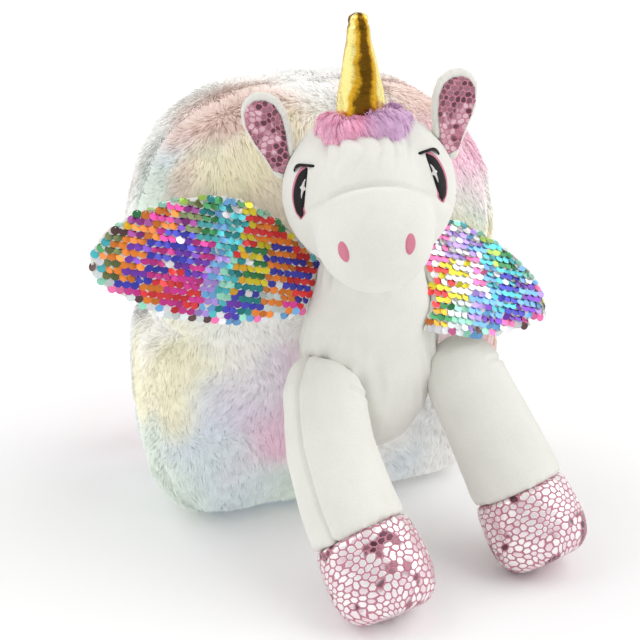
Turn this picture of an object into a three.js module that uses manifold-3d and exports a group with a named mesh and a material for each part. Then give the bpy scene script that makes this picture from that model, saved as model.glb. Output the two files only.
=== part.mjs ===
// A child's plush backpack: a fur-fabric bag with a zip round its top, a stuffed unicorn on its front with a horn,
// ears, sequin wings and two long forelegs, and a pair of padded shoulder straps with webbing behind.
// Millimetres, +Z up. The unicorn faces -Y, the wearer's back lies at +Y, and the origin is on the surface that the
// bag stands on, under the middle of its base. Left and right are -X and +X, as seen from the front.
import * as THREE from "three";
import { mergeVertices } from "three/addons/utils/BufferGeometryUtils.js";
import Module from "manifold-3d";

const wasm = await Module();
wasm.setup();

// Bag
const bagWidth = 252;
const bagHeight = 300;
const bagDepth = 110;
const zipFromFront = 44;
const furWall = 6;
const topCornerRadius = 94;
const baseCornerRadius = 42;
const frontCrown = 10;
const backCrown = 5;
const frontBelly = 12;
const seamBelly = 9;
const backBelly = 2;
const bellyHeight = 96;
const bellySpan = 56;
const pinchDepth = 18;
const pinchHeight = 150;
const pinchSpan = 10;
const panelCentreHeight = 140;

// Zip
const zipSlotWidth = 9;
const zipTapeThickness = 1.4;
const zipTapeRecess = 2.4;
const zipChainWidth = 4.6;
const zipChainThickness = 1.4;
const zipPullWidth = 7;
const zipPullLength = 24;
const zipSliderAboveFoot = 17;
const zipSliderProud = 1.5;

// Webbing, its adjusters and the shoulder pads
const webbingWidth = 25;
const webbingThickness = 1.6;
const adjusterBar = 3;
const adjusterSlot = 5.6;
const adjusterWall = 3;
const padWidth = 48;
const padThickness = 15;
const labelWidth = 92;
const labelHeight = 44;
const labelThickness = 1;
const labelFoot = 207;
const handleWidth = 25;

// Unicorn
const torsoX = 16;
const torsoWidth = 95;
const torsoDepth = 62;
const torsoAhead = 30;
const torsoLean = -6;
const torsoFoot = 66;
const torsoTop = 212;
const headPlace = new THREE.Vector3(2.5, -110, 258);
const headYaw = -0.32;
const headRoll = -0.12;
const craniumRadii = new THREE.Vector3(53.5, 49, 50);
const muzzleRadii = new THREE.Vector3(35, 36, 35);
const muzzleAhead = 44;
const muzzleDrop = 12;
const bridgeRadii = new THREE.Vector3(33, 38, 33);
const bridgeAhead = 21;
const bridgeRise = 12;
const earLength = 58;
const earWidth = 33;
const earEdge = 4;
const earOut = 48;
const earUp = 11;
const earBehind = 2;
const earLiningShare = 0.82;
const earLiningThickness = 1.2;
const hornLength = 64;
const hornRadius = 14.5;
const hornSeat = 45;
const forelockRadii = new THREE.Vector3(26, 19, 9);
const forelockAhead = 8;
const forelockSink = 5;
const lockAhead = 13;
const lockLength = 26;
const lockRadius = 6.5;
const lockCount = 9;
const eyeHeight = 38;
const eyeWidth = 24;
const eyeTurn = 0.96;
const eyeRise = 0.25;
const nostrilHeight = 13;
const nostrilWidth = 7.5;
const nostrilTurn = 0.56;
const patchThickness = 0.9;
const wingLength = 162;
const wingHeight = 84;
const wingEdge = 3;
const wingCrown = 5;
const legRadius = 27;
const hoofWidth = 70;
const hoofDepth = 56;

// Clearance between pieces that touch on the real thing
const gap = 0.35;
const seamGap = 0.4;

const X = new THREE.Vector3(1, 0, 0);
const Y = new THREE.Vector3(0, 1, 0);
const Z = new THREE.Vector3(0, 0, 1);
const bagFront = -bagDepth / 2;
const bagBack = bagDepth / 2;
const seamY = bagFront + zipFromFront;
const zipFoot = pinchHeight + pinchSpan / 2;
const zipSliderHeight = zipFoot + zipSliderAboveFoot;

const finish = (color, roughness, metalness = 0) => new THREE.MeshStandardMaterial({ color, roughness, metalness });
const furFinish = finish(0xe9dfe6, 0.95);
const plushFinish = finish(0xf3f2ec, 0.9);
const webbingFinish = finish(0xec5f96, 0.8);
const adjusterFinish = finish(0xf7b9d0, 0.4);
const lameFinish = finish(0xd98aa8, 0.3, 0.5);
const goldFinish = finish(0xd9a92e, 0.25, 0.9);
const threadFinish = finish(0x15131a, 0.6);
const nostrilFinish = finish(0xee7f9c, 0.7);
const forelockFinish = finish(0xe58fc4, 0.95);
const sequinFinish = finish(0xd0508f, 0.25, 0.6);
const labelFinish = finish(0x8c8f92, 0.8);
const zipFinish = finish(0xe2557f, 0.6);

// A closed surface through rings of equally many points, ended by one point each.
function loft(rings, startPole, endPole) {
  const count = rings[0].length;
  const points = [startPole, ...rings.flat(), endPole];
  const last = points.length - 1;
  const at = (ring, i) => 1 + ring * count + (i % count);
  const faces = [];
  for (let i = 0; i < count; i++) {
    faces.push(0, at(0, i + 1), at(0, i));
    faces.push(last, at(rings.length - 1, i), at(rings.length - 1, i + 1));
    for (let ring = 0; ring + 1 < rings.length; ring++) {
      const [a, b, c, d] = [at(ring, i), at(ring, i + 1), at(ring + 1, i), at(ring + 1, i + 1)];
      faces.push(a, b, d, a, d, c);
    }
  }
  let volume = 0;
  for (let f = 0; f < faces.length; f += 3) {
    const [p, q, r] = [points[faces[f]], points[faces[f + 1]], points[faces[f + 2]]];
    volume += p.dot(q.clone().cross(r));
  }
  if (volume < 0) faces.reverse();
  const geometry = new THREE.BufferGeometry().setFromPoints(points);
  geometry.setIndex(faces);
  return geometry;
}

const middle = (ring) => ring.reduce((sum, p) => sum.add(p), new THREE.Vector3()).divideScalar(ring.length);

function loftWithFlatEnds(rings) {
  return loft(rings, middle(rings[0]), middle(rings[rings.length - 1]));
}

function solidOf(geometry, matrix = new THREE.Matrix4()) {
  const bare = geometry.clone().applyMatrix4(matrix);
  bare.deleteAttribute("normal");
  bare.deleteAttribute("uv");
  const merged = mergeVertices(bare, 1e-4);
  return new wasm.Manifold(
    new wasm.Mesh({
      numProp: 3,
      vertProperties: new Float32Array(merged.attributes.position.array),
      triVerts: new Uint32Array(merged.index.array),
    }),
  );
}

function geometryOf(solid) {
  const mesh = solid.getMesh();
  const geometry = new THREE.BufferGeometry();
  geometry.setAttribute("position", new THREE.BufferAttribute(new Float32Array(mesh.vertProperties), 3));
  geometry.setIndex(new THREE.BufferAttribute(new Uint32Array(mesh.triVerts), 1));
  return geometry;
}

const joined = (solids) => solids.reduce((all, one) => all.add(one));

function cutBy(solid, cutters) {
  const left = cutters.reduce((rest, cutter) => rest.subtract(cutter), solid);
  return left.decompose().sort((a, b) => b.volume() - a.volume())[0];
}

function ellipsoid(radii, centre, around = 24, along = 14) {
  const geometry = new THREE.SphereGeometry(1, around, along);
  geometry.scale(radii.x, radii.y, radii.z);
  geometry.translate(centre.x, centre.y, centre.z);
  return solidOf(geometry);
}

const bump = (value, centre, span) => Math.exp(-(((value - centre) / span) ** 2));
const sideShift = (z, belly) => belly * bump(z, bellyHeight, bellySpan) - pinchDepth * bump(z, pinchHeight, pinchSpan);

// The bag's outline in the XZ plane, drawn in from the outer face by inset: flat base, round corners, a domed top,
// a belly low on both sides and a fold across it at half its height.
function bagOutline(inset, belly = seamBelly) {
  const half = bagWidth / 2 - inset;
  const foot = inset;
  const top = bagHeight - inset;
  const baseRadius = baseCornerRadius - inset;
  const topRadius = topCornerRadius - inset;
  const sideFoot = foot + baseRadius;
  const sideTop = top - topRadius;
  const rightHalf = [[(half - baseRadius) / 2, foot]];
  const baseSteps = 4;
  for (let i = 0; i <= baseSteps; i++) {
    const turn = (i / baseSteps) * (Math.PI / 2);
    rightHalf.push([half - baseRadius + baseRadius * Math.sin(turn), sideFoot - baseRadius * Math.cos(turn)]);
  }
  const belowPinch = [0.3, 0.6, 0.85];
  for (const share of belowPinch) rightHalf.push([half, THREE.MathUtils.lerp(sideFoot, pinchHeight - pinchSpan, share)]);
  for (const step of [-1, -0.5, 0, 0.5, 1]) rightHalf.push([half, pinchHeight + step * pinchSpan * 1.4]);
  rightHalf.push([half, (pinchHeight + 1.4 * pinchSpan + sideTop) / 2]);
  const topSteps = 6;
  for (let i = 0; i <= topSteps; i++) {
    const turn = (i / topSteps) * (Math.PI / 2);
    rightHalf.push([half - topRadius + topRadius * Math.cos(turn), sideTop + topRadius * Math.sin(turn)]);
  }
  const shifted = rightHalf.map(([x, z]) => {
    const share = THREE.MathUtils.clamp((x - (half - baseRadius)) / baseRadius, 0, 1);
    return [x + sideShift(z, belly) * share, z];
  });
  const mirrored = shifted.map(([x, z]) => [-x, z]).reverse();
  return [[0, foot], ...shifted, [0, top], ...mirrored];
}

// From the zip's plane out to a panel: reach is a share of the gusset's depth, crown of the panel's crown, spread of the outline.
const outerSections = [
  { reach: 0.6, crown: 0, spread: 1 },
  { reach: 0.84, crown: 0, spread: 0.985 },
  { reach: 0.96, crown: 0, spread: 0.955 },
  { reach: 1, crown: 0.22, spread: 0.9 },
  { reach: 1, crown: 0.62, spread: 0.66 },
  { reach: 1, crown: 0.9, spread: 0.34 },
];
const innerSections = [
  { reach: 0.8, crown: 0, spread: 0.99 },
  { reach: 1, crown: 0.2, spread: 0.9 },
  { reach: 1, crown: 0.75, spread: 0.5 },
];

function bagRing(outline, y, spread) {
  return outline.map(([x, z]) => new THREE.Vector3(x * spread, y, panelCentreHeight + (z - panelCentreHeight) * spread));
}

const zipRimShare = (z) => THREE.MathUtils.smoothstep(z, pinchHeight - pinchSpan, zipFoot);

// The rim keeps a slot for the zip above its foot, and below it closes to a seam.
function rimRing(outline, outward) {
  return outline.map(([x, z]) => {
    const halfSlot = THREE.MathUtils.lerp(seamGap, zipSlotWidth, zipRimShare(z)) / 2;
    return new THREE.Vector3(x, seamY + outward * halfSlot, z);
  });
}

function panelRings(inset, sections, outward, depth, crown) {
  const panelBelly = outward < 0 ? frontBelly : backBelly;
  return sections.map((row) => {
    const belly = THREE.MathUtils.lerp(seamBelly, panelBelly, Math.min(1, row.reach));
    return bagRing(bagOutline(inset, belly), seamY + outward * (depth * row.reach + crown * row.crown), row.spread);
  });
}

function panelPole(outward, depth, crown) {
  return new THREE.Vector3(0, seamY + outward * (depth + crown), panelCentreHeight);
}

function bagShell(outward, depth, crown) {
  const innerDepth = depth - furWall;
  return loft(
    [
      ...panelRings(furWall, innerSections, outward, innerDepth, crown).reverse(),
      rimRing(bagOutline(furWall), outward),
      rimRing(bagOutline(0), outward),
      ...panelRings(0, outerSections, outward, depth, crown),
    ],
    panelPole(outward, innerDepth, crown),
    panelPole(outward, depth, crown),
  );
}

// The whole bag as one full form, grown by a clearance, to cut its neighbours with.
function bagForm(grow) {
  const frontDepth = zipFromFront + grow;
  const backDepth = bagDepth - zipFromFront + grow;
  return solidOf(
    loft(
      [
        ...panelRings(-grow, outerSections, -1, frontDepth, frontCrown).reverse(),
        bagOutline(-grow).map(([x, z]) => new THREE.Vector3(x, seamY, z)),
        ...panelRings(-grow, outerSections, 1, backDepth, backCrown),
      ],
      panelPole(-1, frontDepth, frontCrown),
      panelPole(1, backDepth, backCrown),
    ),
  );
}

// A flat band that follows the bag's outline above the zip's foot, between two depths below the fur's face.
function zipBand(width, recess, thickness) {
  const upper = (outline) => outline.filter(([, z]) => z > zipFoot);
  const face = upper(bagOutline(recess));
  const back = upper(bagOutline(recess + thickness));
  const rings = face.map(([x, z], i) => [
    new THREE.Vector3(x, seamY - width / 2, z),
    new THREE.Vector3(x, seamY + width / 2, z),
    new THREE.Vector3(back[i][0], seamY + width / 2, back[i][1]),
    new THREE.Vector3(back[i][0], seamY - width / 2, back[i][1]),
  ]);
  return loftWithFlatEnds(rings);
}

// The slider with its pull hanging down, one piece, on the right side of the bag.
function zipSlider() {
  const bodyWidth = zipSlotWidth - 2 * gap;
  const bodyHeight = 11;
  const bodyDepth = 3.4;
  const pullThickness = 1.8;
  const pullHole = 1.8;
  const pull = new THREE.Shape();
  pull.moveTo(-zipPullWidth / 2, 0);
  pull.lineTo(-zipPullWidth / 2, -zipPullLength + zipPullWidth / 2);
  pull.absarc(0, -zipPullLength + zipPullWidth / 2, zipPullWidth / 2, Math.PI, 2 * Math.PI, false);
  pull.lineTo(zipPullWidth / 2, 0);
  pull.closePath();
  const hole = new THREE.CylinderGeometry(pullHole, pullHole, 20, 10);
  hole.rotateX(Math.PI / 2);
  hole.translate(0, bodyHeight / 4 - zipPullLength + zipPullWidth / 2, 0);
  const pullGeometry = new THREE.ExtrudeGeometry(pull, { depth: pullThickness, bevelEnabled: false, curveSegments: 5 });
  pullGeometry.translate(0, bodyHeight / 4, bodyDepth / 2 - pullThickness / 4);
  const body = new THREE.BoxGeometry(bodyWidth, bodyHeight, bodyDepth);
  return geometryOf(cutBy(joined([solidOf(body), solidOf(pullGeometry)]), [solidOf(hole)]));
}

// A band of constant width and thickness: each station has a place, the direction across the band and its outward face.
function ribbon(stations, width, thickness) {
  const rings = stations.map(({ place, across, out }) =>
    [[-1, -1], [1, -1], [1, 1], [-1, 1]].map(([side, face]) =>
      place.clone().addScaledVector(across, (side * width) / 2).addScaledVector(out, (face * thickness) / 2),
    ),
  );
  return loftWithFlatEnds(rings);
}

// Stations along a smooth curve, lying across the direction given at each of its points.
function stationsAlong(points, acrossAt, steps) {
  const curve = new THREE.CatmullRomCurve3(points, false, "centripetal");
  const stations = [];
  for (let i = 0; i <= steps; i++) {
    const share = i / steps;
    const tangent = curve.getTangentAt(share);
    const across = acrossAt(share).clone().addScaledVector(tangent, -acrossAt(share).dot(tangent)).normalize();
    const out = tangent.clone().cross(across).normalize();
    stations.push({ place: curve.getPointAt(share), across, out });
  }
  return { stations, length: curve.getLength() };
}

// A padded band with a soft oval section, thinner and rounder at both ends.
const padEnds = [
  { along: 0, wide: 0.72, thick: 0.5 },
  { along: 0.06, wide: 0.92, thick: 0.75 },
  { along: 0.16, wide: 1, thick: 1 },
  { along: 0.9, wide: 1, thick: 1 },
  { along: 0.97, wide: 0.93, thick: 0.85 },
  { along: 1, wide: 0.8, thick: 0.55 },
];

function shareFrom(rows, along, column) {
  const next = rows.findIndex((row) => row.along >= along);
  if (next <= 0) return rows[0][column];
  const [a, b] = [rows[next - 1], rows[next]];
  return THREE.MathUtils.mapLinear(along, a.along, b.along, a[column], b[column]);
}

function shoulderPad(points, across) {
  const steps = 12;
  const around = 12;
  const { stations } = stationsAlong(points, () => across, steps);
  const rings = stations.map(({ place, across: side, out }, station) => {
    const wide = (padWidth / 2) * shareFrom(padEnds, station / steps, "wide");
    const thick = (padThickness / 2) * shareFrom(padEnds, station / steps, "thick");
    return Array.from({ length: around }, (_, i) => {
      const turn = ((i + 0.5) / around) * 2 * Math.PI;
      const flat = (value) => Math.sign(value) * Math.abs(value) ** 0.6;
      return place
        .clone()
        .addScaledVector(side, wide * flat(Math.cos(turn)))
        .addScaledVector(out, thick * flat(Math.sin(turn)));
    });
  });
  return loftWithFlatEnds(rings);
}

// The adjuster: a plate with two slots and a bar between them, in its own XY plane.
function adjuster() {
  const slotLength = webbingWidth + 3;
  const width = slotLength + 2 * adjusterWall;
  const height = 3 * adjusterBar + 2 * adjusterSlot;
  const corner = 3;
  const plate = joined([
    solidOf(new THREE.BoxGeometry(width, height - 2 * corner, adjusterBar)),
    solidOf(new THREE.BoxGeometry(width - 2 * corner, height, adjusterBar)),
  ]);
  const corners = [-1, 1].flatMap((x) => [-1, 1].map((y) => {
    const round = new THREE.CylinderGeometry(corner, corner, adjusterBar, 12);
    round.rotateX(Math.PI / 2);
    round.translate(x * (width / 2 - corner), y * (height / 2 - corner), 0);
    return solidOf(round);
  }));
  const slots = [-1, 1].map((side) => {
    const slot = new THREE.BoxGeometry(slotLength, adjusterSlot, 3 * adjusterBar);
    slot.translate(0, (side * (adjusterBar + adjusterSlot)) / 2, 0);
    return solidOf(slot);
  });
  return geometryOf(cutBy(joined([plate, ...corners]), slots));
}

const adjusterPitch = adjusterBar + adjusterSlot;
const adjusterHalf = adjusterPitch + adjusterBar / 2 + 0.6;
const weave = adjusterBar / 2 + webbingThickness / 2 + 2 * gap;

// How far the webbing stands off the adjuster's middle plane: behind its end bars and over its middle one.
function weaveAt(fromMiddle) {
  const steps = Math.abs(fromMiddle) / adjusterPitch;
  if (steps < 1) return weave * THREE.MathUtils.clamp(1.7 * Math.cos(steps * Math.PI), -1, 1);
  return -weave * THREE.MathUtils.clamp(2.3 - steps, 0, 1);
}

// The straps, as seen from behind: the right one hangs straight and the left one lies out to its side.
// Points run from the seam at the top down the pad, then down the webbing to the base corner.
const strapRoutes = {
  left: {
    pad: [[-25, 6, 274], [-34, 16, 245], [-52, 28, 205], [-71, 36, 168], [-88, 40, 135]],
    webbing: [[-85.8, 39.6, 139.4], [-92, 42.6, 126.6], [-95.5, 47.5, 111], [-94, 51, 92], [-87, 47, 74], [-79.5, 40, 60], [-72, 33, 46], [-63, 23, 33], [-54, 14, 23]],
    across: [0.86, 0, 0.42],
    lowAcross: [0.72, 0.45, -0.5],
    sewn: [-80, -12, 30],
  },
  right: {
    pad: [[26, 6, 281], [23, 18, 247], [19, 30, 203], [15, 39, 160], [11, 44, 120.5]],
    webbing: [[10.6, 43.6, 125.5], [11.8, 45.4, 111], [16, 48.3, 97], [26, 49, 81], [34.5, 46, 66], [40, 39.5, 53], [45.5, 33, 40], [55, 22, 28], [66, 12, 18]],
    across: [1, 0, 0],
    lowAcross: [0.97, -0.12, 0.13],
    sewn: [96, -8, 24],
  },
};
const behindBag = ([x, y, z]) => new THREE.Vector3(x, bagBack + y, z);
const adjusterShare = 0.53;
const webbingSteps = 46;
const padSeamSteps = 8;
const foldRadius = 2.7;
const returnShare = 0.36;
const tabWidth = 20;
const tabBeyond = 7;

function strapParts(side) {
  const route = strapRoutes[side];
  const across = new THREE.Vector3(...route.across).normalize();
  const lowAcross = new THREE.Vector3(...route.lowAcross).normalize();
  const acrossAt = (share) => across.clone().lerp(lowAcross, THREE.MathUtils.smoothstep(share, 0, 0.38));
  const points = route.webbing.map(behindBag);
  const { stations, length } = stationsAlong(points, acrossAt, webbingSteps);
  const threadedAt = Math.round(adjusterShare * webbingSteps);
  const { place, across: side2side, out } = stations[threadedAt];
  const tangent = side2side.clone().cross(out);
  const threaded = stations.map((station, i) => {
    const fromMiddle = ((i - threadedAt) / webbingSteps) * length;
    const free = THREE.MathUtils.smoothstep(Math.abs(fromMiddle), adjusterHalf, adjusterHalf + 9);
    const straight = place.clone().addScaledVector(tangent, fromMiddle).addScaledVector(out, weaveAt(fromMiddle));
    return {
      place: straight.lerp(station.place, free),
      across: side2side.clone().lerp(station.across, free).normalize(),
      out: out.clone().lerp(station.out, free).normalize(),
    };
  });
  const start = { ...threaded[0], place: threaded[0].place.clone().addScaledVector(threaded[0].across.clone().cross(threaded[0].out), -gap) };
  const sewnIn = ribbon([start, ...threaded.slice(0, padSeamSteps)], webbingWidth + 2 * gap, webbingThickness + 2 * gap);
  const pad = cutBy(solidOf(shoulderPad(route.pad.map(behindBag), across)), [solidOf(sewnIn)]);
  return { pad, stations: threaded, plate: { place, across: side2side, out } };
}

// The webbing turns back at the base corner, round the anchor tab, and runs up behind itself to the adjuster.
function strapWebbing(stations) {
  const end = stations[stations.length - 1];
  const tangent = end.across.clone().cross(end.out).normalize();
  const foldSteps = 6;
  const fold = [];
  for (let i = 1; i <= foldSteps; i++) {
    const turn = (i / foldSteps) * Math.PI;
    const out = end.out.clone().multiplyScalar(Math.cos(turn)).addScaledVector(tangent, Math.sin(turn));
    fold.push({
      place: end.place.clone().addScaledVector(end.out, -foldRadius).addScaledVector(out, foldRadius),
      across: end.across,
      out,
    });
  }
  const steps = Math.round(webbingSteps * returnShare);
  const back = [];
  for (let i = 1; i <= steps; i++) {
    const station = stations[stations.length - 1 - i];
    const narrowing = THREE.MathUtils.smoothstep(i / steps, 0.75, 0.95);
    const apart = THREE.MathUtils.lerp(2 * foldRadius, webbingThickness + 2 * gap, narrowing);
    back.push({
      place: station.place.clone().addScaledVector(station.out, -apart),
      across: station.across,
      out: station.out.clone().negate(),
    });
  }
  return ribbon([...stations, ...fold, ...back], webbingWidth, webbingThickness);
}

// The tab that the folded webbing hangs on: webbing sewn in at the base corner, through the fold, with a cut end.
function anchorTab(stations, sewn) {
  const end = stations[stations.length - 1];
  const tangent = end.across.clone().cross(end.out).normalize();
  const inFold = end.place
    .clone()
    .addScaledVector(end.out, -foldRadius)
    .addScaledVector(tangent, foldRadius - webbingThickness - gap - tabWidth / 2);
  const outward = Math.sign(sewn.clone().sub(inFold).dot(end.across));
  const besideFold = (distance) => inFold.clone().addScaledVector(end.across, distance * outward);
  const places = [besideFold(-webbingWidth / 2 - tabBeyond), inFold, besideFold(webbingWidth / 2 + 2), sewn];
  const stationsOfTab = places.map((place, i) => {
    const path = i < places.length - 1 ? end.across.clone().multiplyScalar(outward) : sewn.clone().sub(places[i - 1]).normalize();
    const across = tangent.clone().addScaledVector(path, -tangent.dot(path)).normalize();
    return { place, across, out: path.cross(across) };
  });
  return ribbon(stationsOfTab, tabWidth, webbingThickness);
}

// The grab loop at the top of the back, slumped outwards over the straps: its band lies flat and bends round at both ends.
const handleEnds = { right: [24, 291], left: [-35, 283] };
const handleReach = 23;
const handleBend = 14;
const handleSag = 0.5;

function grabLoop() {
  const steps = 24;
  const [rightX, rightZ] = handleEnds.right;
  const [leftX, leftZ] = handleEnds.left;
  const straight = handleReach - handleBend + 10;
  const arc = (handleBend * Math.PI) / 2;
  const run = rightX - leftX - 2 * handleBend;
  const total = 2 * (straight + arc) + run;
  const stations = [];
  for (let i = 0; i <= steps; i++) {
    const distance = (i / steps) * total;
    const fromEnd = Math.min(distance, total - distance);
    const mirror = distance < total / 2 ? 1 : -1;
    const seamX = mirror > 0 ? rightX : leftX;
    const turn = THREE.MathUtils.clamp((fromEnd - straight) / handleBend, 0, Math.PI / 2);
    const along = Math.max(0, fromEnd - straight - arc);
    const x = seamX - mirror * (handleBend * (1 - Math.cos(turn)) + along);
    const y = Math.min(fromEnd, straight) - 10 + handleBend * Math.sin(turn);
    const z = THREE.MathUtils.lerp(rightZ, leftZ, distance / total) - 4 * Math.sin(turn) ** 2;
    const sag = handleSag * Math.sin(turn);
    const across = new THREE.Vector3(Math.cos(turn) * mirror, Math.sin(turn) * Math.cos(sag), -Math.sin(turn) * Math.sin(sag));
    const path = new THREE.Vector3(-Math.sin(turn), Math.cos(turn) * mirror, 0);
    stations.push({ place: behindBag([x, y, z]), across, out: path.cross(across).normalize() });
  }
  return ribbon(stations, handleWidth, webbingThickness);
}

// A pillow on an outline in its own XZ plane, crowned towards -Y and +Y.
function pillow(outline, edge, frontCrown, backCrown, shares = [0, 0.4, 0.72, 0.92]) {
  const centre = outline.reduce((sum, [x, z]) => [sum[0] + x / outline.length, sum[1] + z / outline.length], [0, 0]);
  const ring = (share, y) =>
    outline.map(([x, z]) => new THREE.Vector3(centre[0] + (x - centre[0]) * share, y, centre[1] + (z - centre[1]) * share));
  const height = (share, crown) => edge / 2 + crown * (1 - share * share);
  const front = shares.slice(1).map((share) => ring(share, -height(share, frontCrown)));
  const back = shares.slice(1).map((share) => ring(share, height(share, backCrown)));
  return loft(
    [...front, ring(1, -edge / 2), ring(1, edge / 2), ...back.reverse()],
    new THREE.Vector3(centre[0], -height(0, frontCrown), centre[1]),
    new THREE.Vector3(centre[0], height(0, backCrown), centre[1]),
  );
}

// A leaf outline from rows of shares: along its length, and above and below its axis.
function leafOutline(rows, length, height, mirror) {
  const upper = rows.map(({ along, above }) => [mirror * along * length, above * height]);
  const lower = rows.slice(1, -1).map(({ along, below }) => [mirror * along * length, -below * height]);
  return [...upper, ...lower.reverse()];
}

const wingRows = [
  { along: 0, above: 0, below: 0 },
  { along: 0.02, above: 0.1, below: 0.1 },
  { along: 0.07, above: 0.2, below: 0.18 },
  { along: 0.19, above: 0.38, below: 0.28 },
  { along: 0.31, above: 0.52, below: 0.34 },
  { along: 0.45, above: 0.61, below: 0.37 },
  { along: 0.58, above: 0.59, below: 0.38 },
  { along: 0.7, above: 0.52, below: 0.35 },
  { along: 0.83, above: 0.4, below: 0.27 },
  { along: 0.93, above: 0.26, below: 0.19 },
  { along: 0.985, above: 0.12, below: 0.1 },
  { along: 1, above: 0, below: 0 },
];
// The left wing is held up and the right one droops.
const wingPoses = {
  left: { mirror: -1, root: new THREE.Vector3(-12, -86, 185), lift: 0.25, sweep: -0.02, tilt: 0.3 },
  right: { mirror: 1, root: new THREE.Vector3(-21, -90, 202), lift: -0.25, sweep: 0.12, tilt: 0.62 },
};

function placeWing(geometry, pose) {
  geometry.rotateX(-pose.tilt);
  geometry.rotateY(-pose.mirror * pose.lift);
  geometry.rotateZ(-pose.mirror * pose.sweep);
  geometry.translate(pose.root.x, pose.root.y, pose.root.z);
  return geometry;
}

function wing(pose) {
  const outline = leafOutline(wingRows, wingLength, wingHeight, pose.mirror);
  return solidOf(placeWing(pillow(outline, wingEdge, wingCrown, wingCrown), pose));
}

// Sections up the torso: up is a share of its height, wide and deep of its size, forward of its depth.
const torsoSections = [
  { up: 0.02, wide: 0.36, deep: 0.42, forward: 0.0 },
  { up: 0.1, wide: 0.62, deep: 0.78, forward: 0.02 },
  { up: 0.26, wide: 0.86, deep: 1, forward: 0.04 },
  { up: 0.45, wide: 0.98, deep: 1, forward: 0.05 },
  { up: 0.6, wide: 1, deep: 0.95, forward: 0.08 },
  { up: 0.74, wide: 0.92, deep: 0.88, forward: 0.12 },
  { up: 0.85, wide: 0.79, deep: 0.82, forward: 0.16 },
  { up: 0.98, wide: 0.7, deep: 0.76, forward: 0.2 },
];

function torsoForm(grow) {
  const around = 20;
  const height = torsoTop - torsoFoot;
  const rings = torsoSections.map((row) => {
    const centre = new THREE.Vector3(torsoX + torsoLean * row.up, bagFront - torsoAhead - row.forward * torsoDepth, torsoFoot + row.up * height);
    return Array.from({ length: around }, (_, i) => {
      const turn = (i / around) * 2 * Math.PI;
      const wide = (torsoWidth / 2) * row.wide + grow;
      const deep = (torsoDepth / 2) * row.deep + grow;
      return new THREE.Vector3(centre.x + wide * Math.cos(turn), centre.y + deep * Math.sin(turn), centre.z);
    });
  });
  const foot = middle(rings[0]).setZ(torsoFoot - grow);
  const top = middle(rings[rings.length - 1]).setZ(torsoTop + grow);
  return solidOf(loft(rings, foot, top));
}

// Each foreleg runs from the shoulder down and forward to a hoof that stands on the surface in front of the bag.
const legRoutes = {
  left: [[-20, -94, 142], [-29, -120, 106], [-26, -154, 66], [-16, -186, 31], [-12, -206, 11]],
  right: [[66, -94, 140], [80, -118, 104], [93, -143, 66], [103, -167, 32], [109, -186, 11]],
};
const legSections = [
  { along: 0, wide: 0.55, deep: 0.5 },
  { along: 0.05, wide: 0.84, deep: 0.8 },
  { along: 0.14, wide: 1, deep: 0.98 },
  { along: 0.35, wide: 1.08, deep: 1.02 },
  { along: 0.55, wide: 1.16, deep: 1.05 },
  { along: 0.68, wide: 1.2, deep: 1.06 },
];
const hoofSections = [
  { along: 0.68, wide: 0.92, deep: 1.02 },
  { along: 0.78, wide: 0.98, deep: 1.04 },
  { along: 0.88, wide: 1, deep: 1 },
  { along: 0.95, wide: 0.9, deep: 0.86 },
  { along: 0.99, wide: 0.66, deep: 0.6 },
];

function limbRings(route, sections, halfWide, halfDeep, grow = 0, along = (row) => row.along) {
  const around = 18;
  const curve = new THREE.CatmullRomCurve3(route.map((p) => new THREE.Vector3(...p)));
  return sections.map((row) => {
    const place = curve.getPointAt(along(row));
    const tangent = curve.getTangentAt(along(row));
    const across = X.clone().addScaledVector(tangent, -X.dot(tangent)).normalize();
    const out = tangent.clone().cross(across);
    return Array.from({ length: around }, (_, i) => {
      const turn = (i / around) * 2 * Math.PI;
      return place
        .clone()
        .addScaledVector(across, (halfWide * row.wide + grow) * Math.cos(turn))
        .addScaledVector(out, (halfDeep * row.deep + grow) * Math.sin(turn));
    });
  });
}

function legForm(route, grow = 0) {
  const rings = limbRings(route, legSections, legRadius, legRadius, grow);
  return solidOf(loft(rings, new THREE.Vector3(...route[0]), middle(rings[rings.length - 1])));
}

// The hoof is a sock-like cap on the leg's end, pressed flat where it stands.
function hoofForm(route) {
  const curve = new THREE.CatmullRomCurve3(route.map((p) => new THREE.Vector3(...p)));
  const seam = gap / curve.getLength();
  const rings = limbRings(route, hoofSections, hoofWidth / 2, hoofDepth / 2, 0, (row) => Math.min(1, row.along + seam));
  const below = solidOf(new THREE.BoxGeometry(400, 400, 100).translate(0, 0, -50).translate(0, -100, 0));
  return cutBy(solidOf(loft(rings, middle(rings[0]), new THREE.Vector3(...route[4]))), [below]);
}

const sizeUp = (radii, grow) => radii.clone().addScalar(grow);

// The head, in its own frame: origin at the middle of the skull, face towards -Y.
function headForm(grow) {
  return joined([
    ellipsoid(sizeUp(craniumRadii, grow), new THREE.Vector3()),
    ellipsoid(sizeUp(bridgeRadii, grow), new THREE.Vector3(0, -bridgeAhead, bridgeRise), 20, 12),
    ellipsoid(sizeUp(muzzleRadii, grow), new THREE.Vector3(0, -muzzleAhead, -muzzleDrop), 22, 12),
  ]);
}

const hornSections = [
  { up: 0, wide: 1 },
  { up: 0.14, wide: 1 },
  { up: 0.3, wide: 0.92 },
  { up: 0.52, wide: 0.72 },
  { up: 0.75, wide: 0.52 },
  { up: 0.9, wide: 0.45 },
  { up: 0.97, wide: 0.34 },
];

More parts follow.
